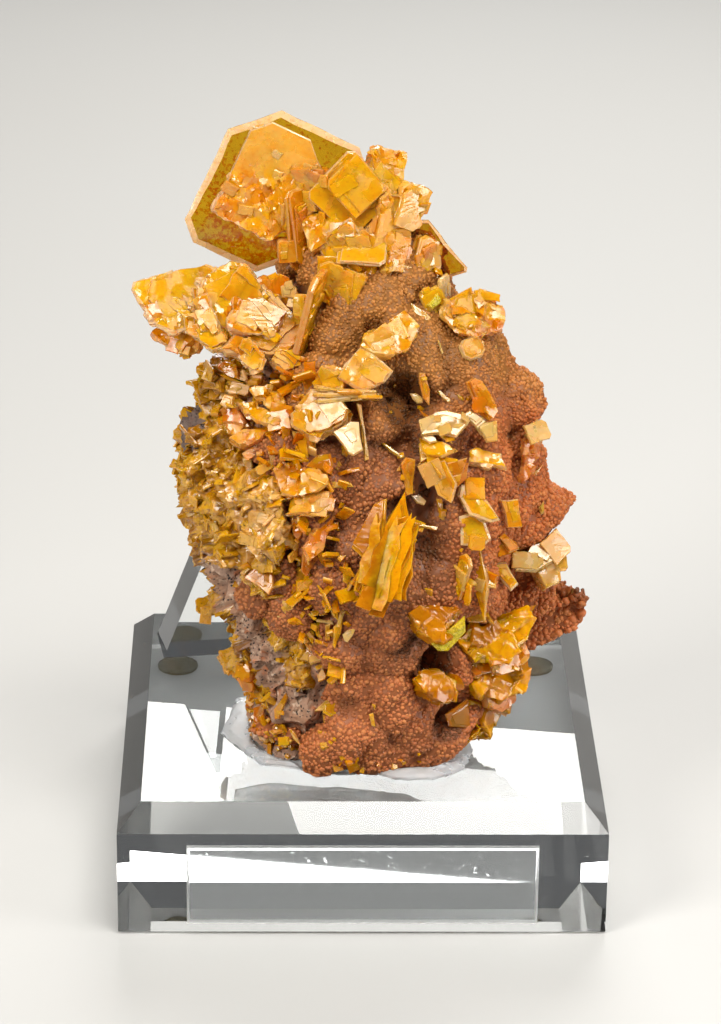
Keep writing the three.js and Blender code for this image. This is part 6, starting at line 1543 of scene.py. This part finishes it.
def bareness(spot):
    # 1 on the bare band of rock and the bare knob at the left edge, 0 away from them
    (topX, topZ), (lowX, lowZ) = bareBand["top"], bareBand["low"]
    share = clamp((spot[2] - topZ) / (lowZ - topZ))
    aside = abs(spot[0] - lerp(topX, lowX, share)) + noise.noise(Vector(spot) / 3) * 2.2
    band = clamp((bareBand["half"] - aside) / 1.5) if spot[2] < topZ + 2 and spot[1] < 2 else 0.0
    knob = (Vector(spot) - bareKnob["at"]).length + noise.noise(Vector(spot) / 3) * 2
    return max(band, clamp((bareKnob["reach"] - knob) / 1.2))


# thin blades: their spacing and sizes in mm, and how far they lean and turn, in degrees
blades = {
    "spacing": 3.9, "wide": (1.6, 4.4), "thick": (0.25, 0.8), "slim": (0.3, 0.85),
    "slope": (-65, 65), "spin": 40,
}


def bladeOn(soup, spot, way, wide, tone, dice, slim=blades["slim"]):
    # one thin blade on edge, rooted at a spot and leaning away from the surface's own direction
    out = Vector(way)
    level = out.cross(Vector((0, 0, 1)))
    level = level.normalized() if level.length > 0.1 else Vector((1, 0, 0))
    basis = (level, out, level.cross(out))
    basis = tilted(basis, math.radians(dice.uniform(*blades["slope"])), dice.uniform(-0.5, 0.5))
    turn = Matrix.Rotation(math.radians(dice.gauss(0, blades["spin"])), 3, out)
    basis = tuple(turn @ side for side in basis)
    width = dice.uniform(*wide) * (0.6 + 0.6 * dice.random())
    size = (width * dice.uniform(*slim), width * dice.uniform(0.9, 1.5))
    shape = cutRectangle(size, cornersOff(size[0], dice), dice.uniform(-30, 30))
    shape = nicked(shape, dice, 1.2, 0.1)
    # a few blades are paler: partly paler crystal, partly a painted glint
    cream = dice.uniform(0.3, 0.8) if dice.random() < 0.08 else 0.03
    root = Vector(spot) + out * width * dice.uniform(-0.25, 0.08)
    thick = dice.uniform(*blades["thick"])
    plate(soup, root, basis, shape, thick, clamp(tone + dice.uniform(-0.35, 0.35)), cream, 0, 0.08)


def druseBlades(druse):
    # thin blades on edge all over the druse, and the few big crystals in it
    dice = random.Random(5)
    chance = np.random.default_rng(5)
    rockTree = closeTo("matrix_rock")
    soup = Soup()

    def outside(points, normals):
        held = np.ones(len(points), bool)
        for index in range(len(points)):
            near = rockTree.find_nearest(Vector(points[index] * mm))
            held[index] = (near[3] > 0.8 * mm and near[1].dot(Vector(normals[index])) > 0.1
                           and bareness(points[index]) < 0.5)
        return held

    spots, ways = scattered(druse.data, blades["spacing"], chance, outside)
    for spot, way in zip(spots, ways):
        bladeOn(soup, spot, way, blades["wide"], 0.8, dice)
    for index, row in enumerate(druseCrystals):
        # the first big crystal's cream is partly paler crystal and partly painted sheen
        habit = {**usualHabit, "tone": 0.7, "cream": 0.1 if index else 0.4, "young": 0.5, "rough": uneven}
        grow(soup, row, habit, dice)
    soup.piece("druse_blades", [druse.data.materials[0]] * 3)
    print("druse blades:", len(spots))


# crystals that grow singly on the crust, the druse and the rock
smallHabit = {**usualHabit, "scaleSize": (1.0, 2.4), "youngSize": (0.8, 1.8)}
# the cream and pale crystals are partly paler crystal and partly painted sheen
looseHabits = {
    "orange": {"tone": 0.35, "shingles": 0.3, "young": 0.1, "rough": wavy},
    "gold": {"tone": 0.6, "shingles": 0.4, "young": 0.15, "rough": wavy},
    "yellow": {"tone": 0.85, "shingles": 0.4, "young": 0.15},
    "pale": {"tone": 0.8, "cream": 0.45, "shingles": 0.3, "young": 0.0},
    "cream": {"cream": 0.9, "shingles": 0.1, "young": 0.0, "steps": 1},
    "bright": {"tone": 0.8, "shingles": 0.6, "young": 0.0, "slot": 3},
    "brown": {"tone": 0.0, "shingles": 0.2, "young": 0.0, "slot": 2},
}


def growLoose(finishes):
    for look, rows in looseCrystals.items():
        dice = random.Random(look)
        soup = Soup()
        for row in rows:
            grow(soup, row, {**smallHabit, **looseHabits[look]}, dice)
        soup.piece(look + "_crystals", finishes)


# places where small blades grow thickly: between these x and z in mm, on the front
thickets = [
    {"x": (-21, -3), "z": (63, 86), "spacing": 3.0, "wide": (4.0, 8.0), "tone": 0.65, "slim": (0.2, 0.45)},
    {"x": (-13, -2.5), "z": (44, 64), "spacing": 2.5, "wide": (2.4, 6.0), "tone": 0.8, "slim": (0.2, 0.5)},
    {"x": (-26, -10), "z": (84, 103), "spacing": 2.6, "wide": (2.4, 6.0), "tone": 0.5, "slim": (0.25, 0.6)},
    {"x": (-27, -3), "z": (26.5, 33), "spacing": 2.6, "wide": (1.2, 2.8), "tone": 0.7},
    {"x": (-30, -19), "z": (30, 48), "spacing": 2.0, "wide": (1.4, 3.0), "tone": 0.6},
    {"x": (-2, 12), "z": (26.5, 30), "spacing": 3.0, "wide": (1.0, 2.2), "tone": 0.6},
    {"x": (2, 22), "z": (56, 100), "spacing": 10, "wide": (1.0, 2.6), "tone": 0.7},
]


def growThickets(grounds, finishes):
    dice = random.Random(31)
    chance = np.random.default_rng(31)
    soup = Soup()
    for thicket in thickets:
        def inside(points, normals):
            (left, right), (low, high) = thicket["x"], thicket["z"]
            ragged = np.array([noise.noise(Vector(point) / 4) * 4 for point in points])
            return ((points[:, 0] > left + ragged) & (points[:, 0] < right + ragged) & (points[:, 2] > low)
                    & (points[:, 2] < high + ragged) & (normals[:, 1] < 0.1) & (points[:, 1] < 4)
                    & np.array([bareness(point) < 0.5 for point in points]))

        slim = thicket.get("slim", blades["slim"])
        for ground in grounds:
            for spot, way in zip(*scattered(ground.data, thicket["spacing"], chance, inside)):
                bladeOn(soup, spot, way, thicket["wide"], thicket["tone"], dice, slim)
    soup.piece("thicket_blades", finishes)


# a long lens from in front and above; angles in degrees
view = {"place": (-0.0153, -0.6659, 0.3538), "pitch": 23.45, "yaw": -1.30, "roll": 0.68, "lens": 137.07}


def setCamera():
    camera = bpy.data.objects.new("camera", bpy.data.cameras.new("camera"))
    bpy.context.scene.collection.objects.link(camera)
    pitch, yaw, roll = (math.radians(view[name]) for name in ("pitch", "yaw", "roll"))
    turn = Matrix.Rotation(yaw, 3, "Z")
    forward = turn @ Vector((0, math.cos(pitch), -math.sin(pitch)))
    level = turn @ Vector((1, 0, 0))
    upright = turn @ Vector((0, math.sin(pitch), math.cos(pitch)))
    right = math.cos(roll) * level + math.sin(roll) * upright
    up = -math.sin(roll) * level + math.cos(roll) * upright
    aim = Matrix((right, up, -forward)).transposed().to_4x4()
    camera.matrix_world = Matrix.Translation(view["place"]) @ aim
    camera.data.sensor_width = 36
    camera.data.lens = view["lens"]
    camera.data.clip_start = 0.01
    camera.data.clip_end = 20
    bpy.context.scene.camera = camera


studio = {
    "floor": colour(188, 187, 184), "floorPatches": colour(190, 190, 188), "skyTint": (0.9, 0.92, 0.95, 1),
    "sky": 0.09,
    # place, what it points at, width and height in metres, watts, warmth
    "top": ((0.12, -0.3, 0.78), (0, 0, 0.09), 0.36, 0.34, 5.7, (1, 0.98, 0.94)),
    "key": ((-0.55, -0.5, 0.55), (0, 0, 0.07), 0.36, 0.42, 6.1, (1, 0.97, 0.92)),
    "fill": ((0.72, -0.27, 0.27), (0, 0, 0.07), 0.34, 0.4, 3.8, (1, 0.98, 0.96)),
    "rim": ((0.1, 0.6, 0.5), (0, 0, 0.08), 0.5, 0.3, 3.8, (1, 0.98, 0.95)),
}


def setStudio():
    scene = bpy.context.scene
    world = bpy.data.worlds.new("studio")
    world.use_nodes = True
    sky = world.node_tree.nodes["Background"]
    sky.inputs["Color"].default_value = studio["skyTint"]
    sky.inputs["Strength"].default_value = studio["sky"]
    scene.world = world
    scene.view_settings.view_transform = "Standard"
    for name in ("top", "key", "fill", "rim"):
        place, target, width, height, watts, warmth = studio[name]
        light = bpy.data.objects.new(name + "_light", bpy.data.lights.new(name, "AREA"))
        light.data.shape = "RECTANGLE"
        light.data.size, light.data.size_y = width, height
        light.data.energy = watts
        light.data.color = warmth
        light.location = place
        light.rotation_euler = (Vector(target) - Vector(place)).to_track_quat("-Z", "Y").to_euler()
        scene.collection.objects.link(light)


def layFloor():
    mesh = bpy.data.meshes.new("floor")
    mesh.from_pydata([(-3, -3, 0), (3, -3, 0), (3, 3, 0), (-3, 3, 0)], [], [(0, 1, 2, 3)])
    floor = bpy.data.objects.new("floor", mesh)
    bpy.context.scene.collection.objects.link(floor)
    made = Finish("floor")
    place = made.place()
    patches = made.spread(made.cloud(place, 0.4, 2), 0.3, 0.7)
    tint = made.blend(patches, studio["floor"], studio["floorPatches"])
    mesh.materials.append(made.finish({"Base Color": tint, "Roughness": 0.55}))


setCamera()
setStudio()
layFloor()
print("studio ready")

acrylicLook = acrylicFinish()
dressed("acrylic_base", acrylicLook, stand["block"])
clearOf("rear_prop", "prop", acrylicLook, stand["prop"], 2, blockTop)
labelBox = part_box("label_plate")
clearOf("label_plate", "label", plateFinish(labelBox), stand["label"], 1, labelBox[1].y / mm)
padLook = padFinish()
for end in ("front", "rear"):
    for side in ("left", "right"):
        clearOf(f"foot_disc_{end}_{side}", f"pad_{end}_{side}", padLook, stand["pad"], 2, 0.5)
print("stand dressed")

mimetiteLook = mimetiteFinish()
skins = [crustSkin(node, mimetiteLook) for node in ("mimetite_crust", "mimetite_patch")]
grains(skins, mimetiteLook, 7)
rockLook = rockFinish()
rockBody = roughened("matrix_rock", "rock_body", rock["longest"], rockLook, rockRise(), {"tone": 0.5})
druse = growDruse(rockLook)
pressPutty(puttyFinish())
print("crust, rock, druse and putty ready")

crystalLooks = [crystalFinish("wulfenite", honey), crystalFinish("clear_wulfenite", olive),
                crystalFinish("amber_wulfenite", amber), crystalFinish("bright_wulfenite", lime)]
growGroups(crystalLooks)
druseBlades(druse)
growLoose(crystalLooks)
growThickets([*skins, rockBody], crystalLooks)
print("crystals ready")
